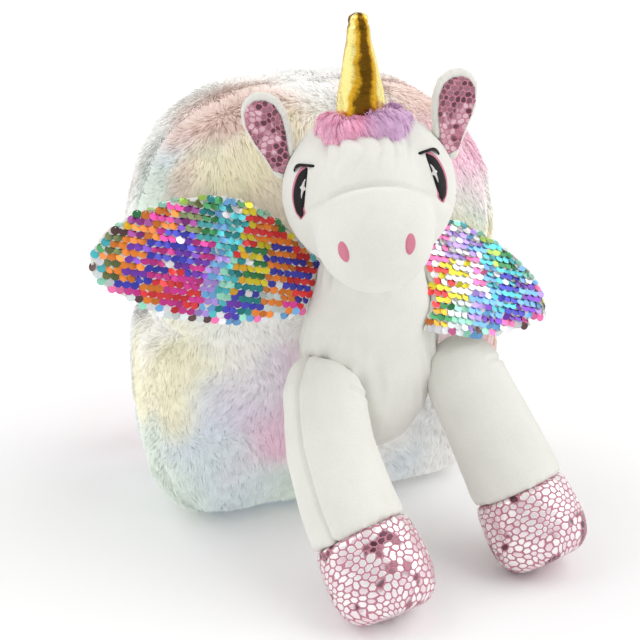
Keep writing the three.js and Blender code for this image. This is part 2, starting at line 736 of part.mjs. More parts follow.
function hornForm(grow) {
  const profile = [new THREE.Vector2(0, 0)];
  for (const { up, wide } of hornSections) profile.push(new THREE.Vector2(hornRadius * wide + grow, hornLength * up));
  profile.push(new THREE.Vector2(0, hornLength));
  const geometry = new THREE.LatheGeometry(profile, 16);
  geometry.rotateX(Math.PI / 2);
  geometry.rotateY(-0.6 * headRoll);
  geometry.translate(0, -6, hornSeat);
  return solidOf(geometry);
}

// Forelock: a fur band round the foot of the horn, with locks that fall over the brow.
function forelockForm() {
  const seat = new THREE.Vector3(0, -forelockAhead, craniumRadii.z - forelockSink);
  const locks = [ellipsoid(forelockRadii, seat, 16, 8)];
  for (let i = 0; i < lockCount; i++) {
    const turn = THREE.MathUtils.lerp(-1.15, 1.15, i / (lockCount - 1));
    const lock = new THREE.SphereGeometry(1, 8, 6);
    lock.scale(lockRadius, lockRadius * 0.7, lockLength / 2 * (1 - 0.25 * Math.abs(turn)));
    lock.rotateX(-1.02);
    lock.rotateZ(turn);
    lock.translate(seat.x + forelockRadii.y * Math.sin(turn), seat.y - lockAhead * Math.cos(turn), seat.z - 1);
    locks.push(solidOf(lock));
  }
  return joined(locks);
}

const earRows = [
  { along: 0, above: 0, below: 0 },
  { along: 0.08, above: 0.24, below: 0.24 },
  { along: 0.26, above: 0.34, below: 0.3 },
  { along: 0.5, above: 0.46, below: 0.42 },
  { along: 0.72, above: 0.52, below: 0.48 },
  { along: 0.88, above: 0.44, below: 0.4 },
  { along: 0.97, above: 0.24, below: 0.22 },
  { along: 1, above: 0, below: 0 },
];
const earDish = -1.6;
const earBack = 6;

function placeEar(geometry, mirror) {
  const lean = 0.3;
  const turnOut = 0.5;
  geometry.rotateY(mirror * lean);
  geometry.rotateZ(mirror * turnOut);
  geometry.translate(mirror * earOut, earBehind, earUp);
  return geometry;
}

function earOutline(mirror) {
  return leafOutline(earRows, earLength, earWidth, 1).map(([along, side]) => [side * -mirror, along]);
}

function ear(mirror) {
  return solidOf(placeEar(pillow(earOutline(mirror), earEdge, earDish, earBack), mirror));
}

// The shiny lining lies in the dish of the ear's front, inside its plush edge.
function earLining(mirror) {
  const outline = earOutline(mirror);
  const centre = outline.reduce((sum, [x, z]) => [sum[0] + x / outline.length, sum[1] + z / outline.length], [0, 0]);
  const face = (share) => -(earEdge / 2 + earDish * (1 - share * share) + gap);
  const ring = (share, y) =>
    outline.map(([x, z]) => new THREE.Vector3(centre[0] + (x - centre[0]) * share, y, centre[1] + (z - centre[1]) * share));
  const shares = [0.4, 0.64, earLiningShare];
  const under = shares.map((share) => ring(share, face(share)));
  const over = shares.map((share) => ring(share, face(share) - earLiningThickness)).reverse();
  const pole = (y) => new THREE.Vector3(centre[0], y, centre[1]);
  return placeEar(loft([...under, ...over], pole(face(0)), pole(face(0) - earLiningThickness)), mirror);
}

// An embroidered patch: an outline pressed on to the head from outside, patchThickness proud of it.
function patch(shape, turn, rise) {
  const prism = new THREE.ExtrudeGeometry(shape, { depth: 60, bevelEnabled: false, curveSegments: 6 });
  const matrix = new THREE.Matrix4()
    .makeRotationZ(turn)
    .multiply(new THREE.Matrix4().makeRotationX(Math.PI / 2 - rise))
    .setPosition(0, 0, 0);
  return headForm(gap + patchThickness).intersect(solidOf(prism, matrix)).subtract(headForm(gap));
}

function eyeShape(mirror) {
  const eye = new THREE.Shape();
  const half = eyeHeight / 2;
  eye.moveTo(0, half);
  eye.quadraticCurveTo(mirror * eyeWidth * 0.9, half * 0.75, mirror * eyeWidth * 0.42, -half * 0.62);
  eye.quadraticCurveTo(mirror * eyeWidth * 0.2, -half * 1.08, -mirror * eyeWidth * 0.16, -half * 0.9);
  eye.quadraticCurveTo(-mirror * eyeWidth * 0.85, -half * 0.1, 0, half);
  return eye;
}

function largest(solid) {
  return solid.decompose().sort((a, b) => b.volume() - a.volume())[0];
}

function eye(mirror) {
  return largest(patch(eyeShape(mirror), mirror * eyeTurn, eyeRise));
}

function nostril(mirror) {
  const oval = new THREE.Shape();
  oval.absellipse(0, 0, nostrilWidth / 2, nostrilHeight / 2, 0, 2 * Math.PI, false, mirror * 0.2);
  const prism = new THREE.ExtrudeGeometry(oval, { depth: 60, bevelEnabled: false, curveSegments: 6 });
  const matrix = new THREE.Matrix4()
    .makeTranslation(0, -muzzleAhead, -muzzleDrop)
    .multiply(new THREE.Matrix4().makeRotationZ(mirror * nostrilTurn))
    .multiply(new THREE.Matrix4().makeRotationX(Math.PI / 2 - 0.05));
  return largest(headForm(gap + patchThickness).intersect(solidOf(prism, matrix)).subtract(headForm(gap)));
}

const backpack = new THREE.Group();
function add(parent, name, geometry, material) {
  const mesh = new THREE.Mesh(geometry, material);
  mesh.name = name;
  parent.add(mesh);
  return mesh;
}

// Bag
add(backpack, "front_shell", bagShell(-1, zipFromFront, frontCrown), furFinish);
add(backpack, "rear_shell", bagShell(1, bagDepth - zipFromFront, backCrown), furFinish);
add(backpack, "zip_tape", zipBand(zipSlotWidth - 2 * gap, zipTapeRecess, zipTapeThickness), zipFinish);
add(backpack, "zip_chain", zipBand(zipChainWidth, zipTapeRecess - gap - zipChainThickness, zipChainThickness), zipFinish);
const slider = add(backpack, "zip_slider", zipSlider(), zipFinish);
slider.rotation.set(Math.PI / 2, Math.PI / 2, 0, "ZXY");
slider.position.set(bagWidth / 2 + sideShift(zipSliderHeight, seamBelly) + zipSliderProud, seamY, zipSliderHeight);

// Back: straps, grab loop and label
const bagClear = bagForm(gap);
for (const side of ["left", "right"]) {
  const { pad, stations, plate: seat } = strapParts(side);
  add(backpack, `shoulder_pad_${side}`, geometryOf(cutBy(pad, [bagClear])), furFinish);
  add(backpack, `strap_webbing_${side}`, strapWebbing(stations), webbingFinish);
  const plate = add(backpack, `strap_adjuster_${side}`, adjuster(), adjusterFinish);
  const { place, across, out } = seat;
  plate.quaternion.setFromRotationMatrix(new THREE.Matrix4().makeBasis(across, out.clone().cross(across), out));
  plate.position.copy(place);
  const tab = anchorTab(stations, behindBag(strapRoutes[side].sewn));
  add(backpack, `anchor_tab_${side}`, geometryOf(cutBy(solidOf(tab), [bagClear])), webbingFinish);
}
add(backpack, "grab_loop", geometryOf(cutBy(solidOf(grabLoop()), [bagClear])), webbingFinish);
const labelSlab = new THREE.BoxGeometry(labelWidth, 40, labelHeight);
labelSlab.translate(0, bagBack + 18, labelFoot + labelHeight / 2);
const labelBody = solidOf(labelSlab).intersect(bagForm(gap + labelThickness)).subtract(bagClear);
add(backpack, "back_label", geometryOf(largest(labelBody)), labelFinish);

// Unicorn's head, turned a little to the left
const head = new THREE.Group();
head.position.copy(headPlace);
head.rotation.set(0, headRoll, headYaw, "ZYX");
head.updateMatrix();
backpack.add(head);
const intoHead = head.matrix.clone().invert();
const headSolid = headForm(0);
add(head, "head", geometryOf(cutBy(headSolid, [solidOf(geometryOf(bagClear), intoHead)])), plushFinish);
const headClear = headForm(gap);
const hornSolid = cutBy(hornForm(0), [headClear]);
add(head, "horn", geometryOf(hornSolid), goldFinish);
add(head, "forelock", geometryOf(cutBy(forelockForm(), [headClear, hornForm(gap)])), forelockFinish);
for (const [side, mirror] of [["left", -1], ["right", 1]]) {
  add(head, `ear_${side}`, geometryOf(cutBy(ear(mirror), [headClear])), plushFinish);
  add(head, `ear_lining_${side}`, geometryOf(cutBy(solidOf(earLining(mirror)), [headClear])), lameFinish);
  add(head, `eye_${side}`, geometryOf(eye(mirror)), threadFinish);
  add(head, `nostril_${side}`, geometryOf(nostril(mirror)), nostrilFinish);
}

// Unicorn's body
const headInPlace = solidOf(geometryOf(headForm(gap)), head.matrix);
const torsoClear = torsoForm(gap);
add(backpack, "torso", geometryOf(cutBy(torsoForm(0), [bagClear, headInPlace])), plushFinish);
for (const side of ["left", "right"]) {
  add(backpack, `leg_${side}`, geometryOf(cutBy(legForm(legRoutes[side]), [torsoClear, bagClear])), plushFinish);
  add(backpack, `hoof_${side}`, geometryOf(hoofForm(legRoutes[side])), lameFinish);
}

const legsClear = ["left", "right"].map((side) => legForm(legRoutes[side], gap));
for (const side of ["left", "right"]) {
  const wingBody = cutBy(wing(wingPoses[side]), [torsoClear, bagClear, headInPlace, ...legsClear]);
  add(backpack, `wing_${side}`, geometryOf(wingBody), sequinFinish);
}

export default backpack;
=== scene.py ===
import bpy, math
import numpy as np
from mathutils import Matrix, Vector
from mathutils.bvhtree import BVHTree
from mathutils.kdtree import KDTree


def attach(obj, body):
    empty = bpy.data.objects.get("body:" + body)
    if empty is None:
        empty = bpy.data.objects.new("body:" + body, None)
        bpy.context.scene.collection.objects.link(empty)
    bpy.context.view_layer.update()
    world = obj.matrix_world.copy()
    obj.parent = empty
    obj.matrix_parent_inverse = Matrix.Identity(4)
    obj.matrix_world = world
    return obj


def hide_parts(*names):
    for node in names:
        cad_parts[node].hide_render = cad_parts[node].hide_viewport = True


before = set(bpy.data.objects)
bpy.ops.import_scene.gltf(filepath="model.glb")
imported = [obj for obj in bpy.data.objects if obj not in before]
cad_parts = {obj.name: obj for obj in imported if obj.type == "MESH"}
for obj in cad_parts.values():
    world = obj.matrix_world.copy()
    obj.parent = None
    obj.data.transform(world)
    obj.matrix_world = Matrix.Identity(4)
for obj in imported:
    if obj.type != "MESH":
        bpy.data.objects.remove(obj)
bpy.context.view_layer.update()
scene = bpy.context.scene
mm = 0.001

# Camera, lights and floor
studio = {
    "azimuth": -19, "elevation": 23, "distance": 0.85, "lens": 67.5,
    "orbit": (0.0, -0.03, 0.15), "aim": (-0.002, -0.03, 0.1385),
    "skyStrength": 0.6, "horizonStrength": 1.0, "horizonReach": 0.3, "floorColour": (0.96, 0.96, 0.96), "floorReach": 90000,
}


def aimed(thing, at):
    thing.rotation_euler = (Vector(at) - thing.location).to_track_quat("-Z", "Y").to_euler()
    return thing


def around(centre, azimuth, elevation, distance):
    a, e = math.radians(azimuth), math.radians(elevation)
    return Vector(centre) + distance * Vector((math.sin(a) * math.cos(e), -math.cos(a) * math.cos(e), math.sin(e)))


cameraData = bpy.data.cameras.new("studioCamera")
cameraData.lens = studio["lens"]
cameraData.clip_start = 0.02
camera = bpy.data.objects.new("studioCamera", cameraData)
camera.location = around(studio["orbit"], studio["azimuth"], studio["elevation"], studio["distance"])
scene.collection.objects.link(aimed(camera, studio["aim"]))
scene.camera = camera

suns = [  # broad soft light from both sides, so that the rims are bright in the front and the back view
    {"azimuth": 72, "elevation": 46, "spread": 60, "strength": 1.35},
    {"azimuth": -118, "elevation": 42, "spread": 60, "strength": 1.05},
]
for i, sun in enumerate(suns):
    data = bpy.data.lights.new(f"softSun{i}", "SUN")
    data.angle, data.energy = math.radians(sun["spread"]), sun["strength"]
    light = bpy.data.objects.new(f"softSun{i}", data)
    light.location = around((0, -0.05, 0.15), sun["azimuth"], sun["elevation"], 2)
    scene.collection.objects.link(aimed(light, (0, -0.05, 0.15)))

world = bpy.data.worlds.new("paleStudio")
scene.world = world
world.use_nodes = True
scene.view_settings.view_transform = "Standard"


# Shader maths: a wrapped socket adds the nodes of the expression it is used in
class Wire:
    def __init__(self, paint, socket):
        self.paint, self.socket = paint, socket

    def maths(self, operation, *others):
        sockets = {i: value for i, value in enumerate((self, *others))}
        return self.paint.node("ShaderNodeMath", {"operation": operation}, sockets)

    def __add__(self, other): return self.maths("ADD", other)
    def __radd__(self, other): return self.maths("ADD", other)
    def __mul__(self, other): return self.maths("MULTIPLY", other)
    def __rmul__(self, other): return self.maths("MULTIPLY", other)
    def __sub__(self, other): return self.maths("SUBTRACT", other)
    def __rsub__(self, other): return (self * -1) + other
    def __truediv__(self, other): return self.maths("DIVIDE", other)
    def __pow__(self, other): return self.maths("POWER", other)
    def sine(self): return self.maths("SINE")
    def size(self): return self.maths("ABSOLUTE")

    def between(self, low, high):  # 0 below low, 1 above high
        return self.paint.node("ShaderNodeMapRange", {"interpolation_type": "SMOOTHSTEP"},
                               {"Value": self, "From Min": low, "From Max": high})


class Paint:
    def __init__(self, name, blendColour=(0.8, 0.8, 0.8)):
        self.material = bpy.data.materials.new(name)
        self.material.use_nodes = True
        self.material.diffuse_color = (*blendColour, 1)
        self.tree = self.material.node_tree
        self.tree.nodes.clear()

    def node(self, kind, settings=None, sockets=None, out=0):
        made = self.tree.nodes.new(kind)
        for name, value in (settings or {}).items():
            if name == "stops":
                ramp = made.color_ramp
                while len(ramp.elements) < len(value):
                    ramp.elements.new(0.5)
                for stop, (place, colour) in zip(ramp.elements, value):
                    stop.position, stop.color = place, (*colour, 1)
            else:
                setattr(made, name, value)
        for name, value in (sockets or {}).items():
            if isinstance(value, Wire):
                self.tree.links.new(value.socket, made.inputs[name])
            elif value is not None:
                made.inputs[name].default_value = value
        return Wire(self, made.outputs[out] if len(made.outputs) else None)

    def mixed(self, factor, first, second):
        colours = {6: first, 7: second}
        sockets = {0: factor, **{k: v if isinstance(v, Wire) else (*v, 1) for k, v in colours.items()}}
        return self.node("ShaderNodeMix", {"data_type": "RGBA"}, sockets, out=2)

    def place(self, kind="Object"):
        return self.node("ShaderNodeTexCoord", out=["Generated", "Normal", "UV", "Object"].index(kind))

    def noise(self, place, scale, detail=2.0, roughness=0.5, out=0):
        return self.node("ShaderNodeTexNoise", {}, {"Vector": place, "Scale": scale, "Detail": detail, "Roughness": roughness}, out)

    def parts(self, vector):
        return [self.node("ShaderNodeSeparateXYZ", {}, {0: vector}, out=i) for i in range(3)]

    def attribute(self, name):
        return self.node("ShaderNodeAttribute", {"attribute_name": name})

    def surface(self, height=None, lift=0.001, bumpStrength=1.0, **sockets):
        named = {name.replace("_", " "): value for name, value in sockets.items()}
        if height is not None:
            named["Normal"] = self.node("ShaderNodeBump", {}, {"Height": height, "Distance": lift, "Strength": bumpStrength})
        for name, value in named.items():
            if isinstance(value, tuple) and len(value) == 3 and "Radius" not in name:
                named[name] = (*value, 1)
        shader = self.node("ShaderNodeBsdfPrincipled", {}, named)
        self.node("ShaderNodeOutputMaterial", {}, {"Surface": shader})
        return self.material


sky = Paint.__new__(Paint)  # a white sweep at the horizon, softer light above
sky.tree = world.node_tree
sky.tree.nodes.clear()
upwards = sky.parts(sky.place("Generated"))[2]
glow = 1 - upwards.size().between(studio["horizonReach"] * 0.6, studio["horizonReach"])
tones = [(studio[name],) * 3 for name in ("skyStrength", "horizonStrength")]
backdrop = sky.node("ShaderNodeBackground", {}, {"Color": sky.mixed(glow, *tones), "Strength": 1.0})
sky.node("ShaderNodeOutputWorld", {}, {"Surface": backdrop})


def linear(colour):  # a screen colour, made linear
    c = np.asarray(colour, float)
    return np.where(c <= 0.04045, c / 12.92, ((c + 0.055) / 1.055) ** 2.4)


def picked(*colour):
    return tuple(float(v) for v in linear(colour))


# Meshes from arrays, in millimetres
def cornerVertices(mesh):
    found = np.empty(len(mesh.loops), np.int32)
    mesh.loops.foreach_get("vertex_index", found)
    return found


def mapped(mesh, uv, name="cloth"):
    mesh.uv_layers.new(name=name).data.foreach_set("uv", uv.astype(np.float32).ravel())


def tinted(mesh, name, colours):  # a colour for each vertex
    rgba = np.concatenate([colours, np.ones((len(colours), 1))], axis=1)
    mesh.attributes.new(name, "FLOAT_COLOR", "POINT").data.foreach_set("color", rgba.astype(np.float32).ravel())


def built(name, points, faces, paint, uv=None, smooth=True):
    mesh = bpy.data.meshes.new(name)
    faces = faces if isinstance(faces, list) else faces.tolist()
    mesh.from_pydata((np.asarray(points, float) * mm).tolist(), [], faces)
    mesh.materials.append(paint)
    if uv is not None:
        mapped(mesh, np.asarray(uv, np.float32)[cornerVertices(mesh)])
    mesh.polygons.foreach_set("use_smooth", [smooth] * len(mesh.polygons))
    mesh.update()
    obj = bpy.data.objects.new(name, mesh)
    scene.collection.objects.link(obj)
    return obj


def settled(obj):  # the modifiers' result becomes the mesh
    graph = bpy.context.evaluated_depsgraph_get()
    mesh = bpy.data.meshes.new_from_object(obj.evaluated_get(graph))
    obj.modifiers.clear()
    old, obj.data = obj.data, mesh
    bpy.data.meshes.remove(old)
    mesh.name = obj.name
    return obj


def modified(obj, *steps):
    for kind, settings in steps:
        modifier = obj.modifiers.new(kind.lower(), kind)
        for name, value in settings.items():
            setattr(modifier, name, value)
    return settled(obj)


def smoothed(obj, levels=1):
    return modified(obj, ("SUBSURF", {"levels": levels, "render_levels": levels}))


def places(obj):
    co = np.empty(len(obj.data.vertices) * 3, np.float32)
    obj.data.vertices.foreach_get("co", co)
    return co.reshape(-1, 3).astype(float) / mm


def normals(obj):
    no = np.empty(len(obj.data.vertices) * 3, np.float32)
    obj.data.vertices.foreach_get("normal", no)
    return no.reshape(-1, 3).astype(float)


def moved(obj, co):
    obj.data.vertices.foreach_set("co", (co * mm).astype(np.float32).ravel())
    obj.data.update()
    return obj


def softCopy(name, node, paint, voxel, smoothing, swell=0.0):
    obj = bpy.data.objects.new(name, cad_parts[node].data.copy())
    scene.collection.objects.link(obj)
    modified(obj, ("REMESH", {"mode": "VOXEL", "voxel_size": voxel * mm}),
             ("SMOOTH", {"factor": 0.5, "iterations": smoothing}))
    obj.data.materials.clear()
    obj.data.materials.append(paint)
    co = places(obj) + normals(obj) * swell
    co[:, 2] = np.maximum(co[:, 2], 0.1)  # flat where it stands
    moved(obj, co)
    obj.data.polygons.foreach_set("use_smooth", [True] * len(obj.data.polygons))
    return obj


def puffed(obj, stuffing):  # cloth blown up from inside, its moves capped
    before = places(obj)
    cloth = obj.modifiers.new("cloth", "CLOTH")
    facts = cloth.settings
    facts.quality, facts.mass = 5, 0.15
    facts.tension_stiffness = facts.compression_stiffness = stuffing["stiffness"]
    facts.shear_stiffness, facts.bending_stiffness = stuffing["stiffness"] / 3, stuffing["bending"]
    facts.use_pressure, facts.uniform_pressure_force = True, stuffing["pressure"]
    facts.effector_weights.gravity = 0
    cloth.collision_settings.use_collision = False
    scene.frame_start, scene.frame_end = 1, stuffing["frames"]
    for step in range(1, stuffing["frames"] + 1):
        scene.frame_set(step)
    settled(obj)
    move = places(obj) - before
    far = np.linalg.norm(move, axis=1, keepdims=True)
    moved(obj, before + move * np.minimum(1, stuffing["cap"] / np.maximum(far, 1e-6)))
    scene.frame_set(1)
    return obj


def inFrame(points, pose):  # points as a pose sees them
    inverse = np.array(pose.inverted())
    return points @ inverse[:3, :3].T + inverse[:3, 3]


def treeOf(*objects):
    points, faces, start = [], [], 0
    for obj in objects:
        co = places(obj) * mm
        points += co.tolist()
        faces += [[start + v for v in polygon.vertices] for polygon in obj.data.polygons]
        start += len(co)
    return BVHTree.FromPolygons(points, faces)


def unit(v):
    return v / np.maximum(np.linalg.norm(v, axis=-1, keepdims=True), 1e-9)


def waves(points, wavelength, seed, count=7):  # smooth wandering values about 0
    rng = np.random.default_rng(seed)
    total = np.zeros(len(points))
    for i in range(count):
        direction = unit(rng.normal(size=3)) * 2 * math.pi / (wavelength * rng.uniform(0.6, 1.6))
        total += np.sin(points @ direction + rng.uniform(0, 2 * math.pi))
    return total / math.sqrt(count / 2)


def smoothstep(value, low, high):
    t = np.clip((value - low) / (high - low), 0, 1)
    return t * t * (3 - 2 * t)


# Materials
def furPaint():
    paint = Paint("dyedFur", (0.9, 0.8, 0.85))
    dye = paint.attribute("dye")
    return paint.surface(Base_Color=dye, Roughness=0.85, Specular_IOR_Level=0.12, Sheen_Weight=0.15,
                         Emission_Color=dye, Emission_Strength=0.13)  # light that the pile scatters


def plushPaint():
    paint = Paint("whitePlush", (0.8, 0.79, 0.76))
    spot = paint.place()
    nap = paint.noise(spot, 1100, 2, 0.5)
    brushed = paint.noise(spot, 45, 3, 0.55)
    colour = paint.mixed(brushed.between(0.3, 0.7), picked(0.905, 0.903, 0.877), picked(0.888, 0.888, 0.858))
    colour = paint.mixed(nap.between(0.25, 0.6), paint.mixed(0.18, colour, picked(0.80, 0.80, 0.76)), colour)
    height = nap * 0.6 + brushed * 1.2 + paint.noise(spot, 190, 2) * 0.5
    return paint.surface(height, lift=0.0007, bumpStrength=0.4, Base_Color=colour, Roughness=0.92,
                         Specular_IOR_Level=0.15, Sheen_Weight=0.3, Sheen_Roughness=0.5)


def goldPaint():
    paint = Paint("goldCloth", (0.78, 0.58, 0.12))
    turn, up, _ = paint.parts(paint.place("UV"))
    spot = paint.place()
    crinkle = paint.noise(spot, 150, 3, 0.6)
    wander = paint.noise(spot, 34, 2)
    # painted reflections: dark and bright bands of gold round the horn stand in for what the foil reflects, with a
    # painted highlight where the bands are brightest
    phase = turn * 3 + (wander - 0.5) * 4.2 + (crinkle - 0.5) * 2.2 + up * 0.9
    reflectionBands = phase.sine() * 0.5 + 0.5
    darkReflectionGold = picked(0.42, 0.29, 0.05)
    colour = paint.mixed(reflectionBands.between(0.08, 0.42), darkReflectionGold, picked(0.86, 0.66, 0.16))
    colour = paint.mixed(reflectionBands.between(0.55, 0.95), colour, picked(0.985, 0.935, 0.60))
    weave = paint.noise(spot, 1500, 2)
    return paint.surface(crinkle + weave * 0.05, lift=0.0016, bumpStrength=0.5, Base_Color=colour, Metallic=0.9,
                         Roughness=0.16 + crinkle * 0.2)


def scalePaint(name, cellWide, cellTall, darkReflectionShare, silverPair, netPair):  # pink net over foil scales in offset rows, on a map in millimetres
    paint = Paint(name, (0.72, 0.34, 0.45))
    across, along, _ = paint.parts(paint.place("UV"))
    spot = paint.place()
    sway, drift, _ = paint.parts(paint.noise(spot, 90, 1, out=1))
    u = across / cellWide + (sway - 0.5) * 1.3
    v = along / cellTall + (drift - 0.5) * 1.3
    tall = math.sqrt(3)
    firstX, firstY = u.maths("FLOORED_MODULO", 1.0) - 0.5, v.maths("FLOORED_MODULO", tall) - tall / 2
    otherX = (u - 0.5).maths("FLOORED_MODULO", 1.0) - 0.5
    otherY = (v - tall / 2).maths("FLOORED_MODULO", tall) - tall / 2
    nearer = (firstX * firstX + firstY * firstY).maths("LESS_THAN", otherX * otherX + otherY * otherY)
    x = otherX + (firstX - otherX) * nearer
    y = otherY + (firstY - otherY) * nearer
    edge = 0.5 - x.size().maths("MAXIMUM", x.size() * 0.5 + y.size() * (tall / 2))
    middle = (x * x + y * y) ** 0.5
    cell = paint.node("ShaderNodeCombineXYZ", {}, {0: (u - x + 0.1).maths("SNAP", 0.5), 1: (v - y + 0.1).maths("SNAP", tall / 2)})
    toss, turn, _ = paint.parts(paint.node("ShaderNodeTexWhiteNoise", {"noise_dimensions": "2D"}, {"Vector": cell}, out=1))
    foil = edge.between(0.08, 0.125) * (1 - middle.between(0.43, 0.5))
    # painted dark reflections: patches of foil cells are darker, standing in for what the foil reflects; the other
    # cells are silver
    darkReflectionPatch = (paint.noise(spot, 36, 1) + (toss - 0.5) * 0.16).between(darkReflectionShare, darkReflectionShare + 0.05)
    silver = paint.mixed(toss * toss, picked(*silverPair[0]), picked(*silverPair[1]))
    darkReflectionTone = paint.mixed(turn.between(0.2, 0.8), picked(0.36, 0.22, 0.27), picked(0.60, 0.42, 0.47))
    cloth = paint.mixed(paint.noise(spot, 1300, 1).between(0.3, 0.7), picked(*netPair[0]), picked(*netPair[1]))
    colour = paint.mixed(foil, cloth, paint.mixed(darkReflectionPatch, silver, darkReflectionTone))
    tilt = x * (toss - 0.5) + y * (turn - 0.5)
    return paint.surface(edge.between(0.03, 0.16) + tilt * foil * 1.6, lift=0.0005, bumpStrength=0.6, Base_Color=colour,
                         Metallic=foil * 0.55, Roughness=0.62 - foil * 0.38)


def threadPaint(name, colour, stripeShade):  # satin stitch: fine threads side by side
    paint = Paint(name, picked(*colour))
    _, along, _ = paint.parts(paint.place("UV"))
    threads = (along * (2 * math.pi / 0.42) + paint.noise(paint.place(), 300, 1) * 5).sine() * 0.5 + 0.5
    # painted shade: stripes darker along the threads, following the stitch relief
    tint = paint.mixed(threads * 0.6, picked(*colour), picked(*[c * stripeShade for c in colour]))
    return paint.surface(threads, lift=0.00025, bumpStrength=0.7, Base_Color=tint, Roughness=0.55, Specular_IOR_Level=0.3)


def webbingPaint():
    paint = Paint("pinkWebbing", (0.82, 0.12, 0.3))
    across, along, _ = paint.parts(paint.place("UV"))
    ribs = (across * (2 * math.pi / 1.9)).sine()
    picks = (along * (2 * math.pi / 1.15) + ribs * 1.2).sine()
    height = ribs * 0.55 + picks * ribs.size() * 0.45
    worn = paint.noise(paint.place(), 90, 3)
    # painted shade and light: darker in the weave's hollows, lighter on its ridges; the paler rubbed patches below are
    # wear
    colour = paint.mixed(height.between(-0.9, 0.9), picked(0.86, 0.36, 0.53), picked(0.965, 0.52, 0.67))
    colour = paint.mixed(worn.between(0.4, 0.75) * 0.35, colour, picked(0.97, 0.60, 0.73))
    return paint.surface(height, lift=0.0004, bumpStrength=0.8, Base_Color=colour, Roughness=0.78, Sheen_Weight=0.2)


def plasticPaint(name, colour, roughness):
    paint = Paint(name, picked(*colour))
    spot = paint.place()
    scuffs = paint.noise(spot, 500, 4, 0.7)
    tint = paint.mixed(scuffs.between(0.5, 0.8) * 0.25, picked(*colour), picked(*[min(1, c * 1.1) for c in colour]))
    return paint.surface(paint.noise(spot, 160, 2), lift=0.0002, bumpStrength=0.3, Base_Color=tint,
                         Roughness=roughness + scuffs * 0.15, Coat_Weight=0.25)


def wovenPaint(name, colour, pitch):  # plain weave, on a map in millimetres
    paint = Paint(name, picked(*colour))
    across, along, _ = paint.parts(paint.place("UV"))
    warp, weft = (across * (2 * math.pi / pitch)).sine(), (along * (2 * math.pi / pitch)).sine()
    height = warp * weft
    dusty = paint.noise(paint.place(), 240, 3)
    # painted shade: darker in the weave's hollows, full colour on its ridges
    tint = paint.mixed(height.between(-0.8, 0.8), picked(*[c * 0.8 for c in colour]), picked(*colour))
    tint = paint.mixed(dusty.between(0.4, 0.8) * 0.3, tint, picked(*[min(1, c * 1.15) for c in colour]))
    return paint.surface(height, lift=0.0002, bumpStrength=0.7, Base_Color=tint, Roughness=0.85)


def sequinPaint():
    paint = Paint("sequins", (0.7, 0.2, 0.45))
    return paint.surface(Base_Color=paint.attribute("tint"), Metallic=0.55, Roughness=0.24, Coat_Weight=0.4,
                         Coat_Roughness=0.1)


paints = {
    "fur": furPaint(), "plush": plushPaint(), "gold": goldPaint(),
    "scale": scalePaint("scaleCloth", 6.0, 4.7, 0.57, [(0.985, 0.965, 0.965), (0.92, 0.82, 0.85)], [(0.70, 0.42, 0.49), (0.80, 0.54, 0.60)]),
    "earScale": scalePaint("earScaleCloth", 4.6, 3.8, 0.42, [(0.86, 0.72, 0.76), (0.66, 0.38, 0.46)], [(0.70, 0.38, 0.47), (0.82, 0.55, 0.62)]),
    "black": threadPaint("blackThread", (0.07, 0.055, 0.07), 0.6),
    "rosy": threadPaint("pinkThread", (0.94, 0.56, 0.66), 0.8),
    "white": threadPaint("whiteThread", (0.96, 0.95, 0.94), 0.88),
    "webbing": webbingPaint(), "clear": plasticPaint("palePlastic", (0.985, 0.76, 0.84), 0.22),
    "zipTape": wovenPaint("zipTape", (0.85, 0.30, 0.45), 0.7), "zipTeeth": plasticPaint("zipTeeth", (0.88, 0.36, 0.50), 0.35),
    "label": wovenPaint("labelCloth", (0.66, 0.655, 0.66), 0.9), "sequin": sequinPaint(),
}
print("materials made")


# Dyes: soft spots of colour over a white pile, by place on the bag in millimetres
dyes = {
    "white": (0.965, 0.962, 0.95), "pink": (0.975, 0.78, 0.87), "rose": (0.965, 0.655, 0.79), "lilac": (0.885, 0.85, 0.92),
    "peach": (0.93, 0.815, 0.765), "sand": (0.925, 0.87, 0.78), "yellow": (0.965, 0.945, 0.81), "mint": (0.87, 0.925, 0.875),
    "blue": (0.85, 0.90, 0.93), "grey": (0.875, 0.89, 0.89), "dusk": (0.87, 0.755, 0.71), "sage": (0.80, 0.845, 0.805),
}
frontSpots = [  # x, z, reach, dye, weight
    (-92, 252, 16, "dusk", 1.5), (-35, 290, 24, "sand", 0.8), (-62, 262, 20, "yellow", 2.0), (-40, 245, 18, "sand", 1.0),
    (-74, 232, 16, "sage", 0.8), (-110, 225, 16, "mint", 1.2), (-84, 212, 18, "grey", 1.0),
    (-126, 250, 22, "mint", 1.5), (-118, 215, 24, "grey", 1.0), (0, 298, 30, "white", 0.8), (-128, 130, 26, "yellow", 1.2),
    (-132, 180, 26, "mint", 0.9), (-95, 165, 26, "white", 1.0), (-92, 80, 26, "blue", 1.5), (-50, 80, 22, "pink", 1.3),
    (-70, 100, 20, "lilac", 0.8), (-72, 32, 26, "blue", 1.2), (-114, 34, 26, "mint", 1.1), (-28, 28, 26, "mint", 1.0),
    (96, 262, 26, "pink", 1.2), (70, 285, 24, "peach", 0.8), (120, 222, 22, "mint", 0.9), (112, 190, 20, "yellow", 1.1),
    (116, 140, 26, "peach", 1.2), (92, 120, 24, "pink", 0.9), (100, 40, 30, "white", 1.0), (60, 30, 24, "blue", 0.9),
    (20, 60, 30, "white", 1.0), (20, 180, 40, "white", 0.8),
]
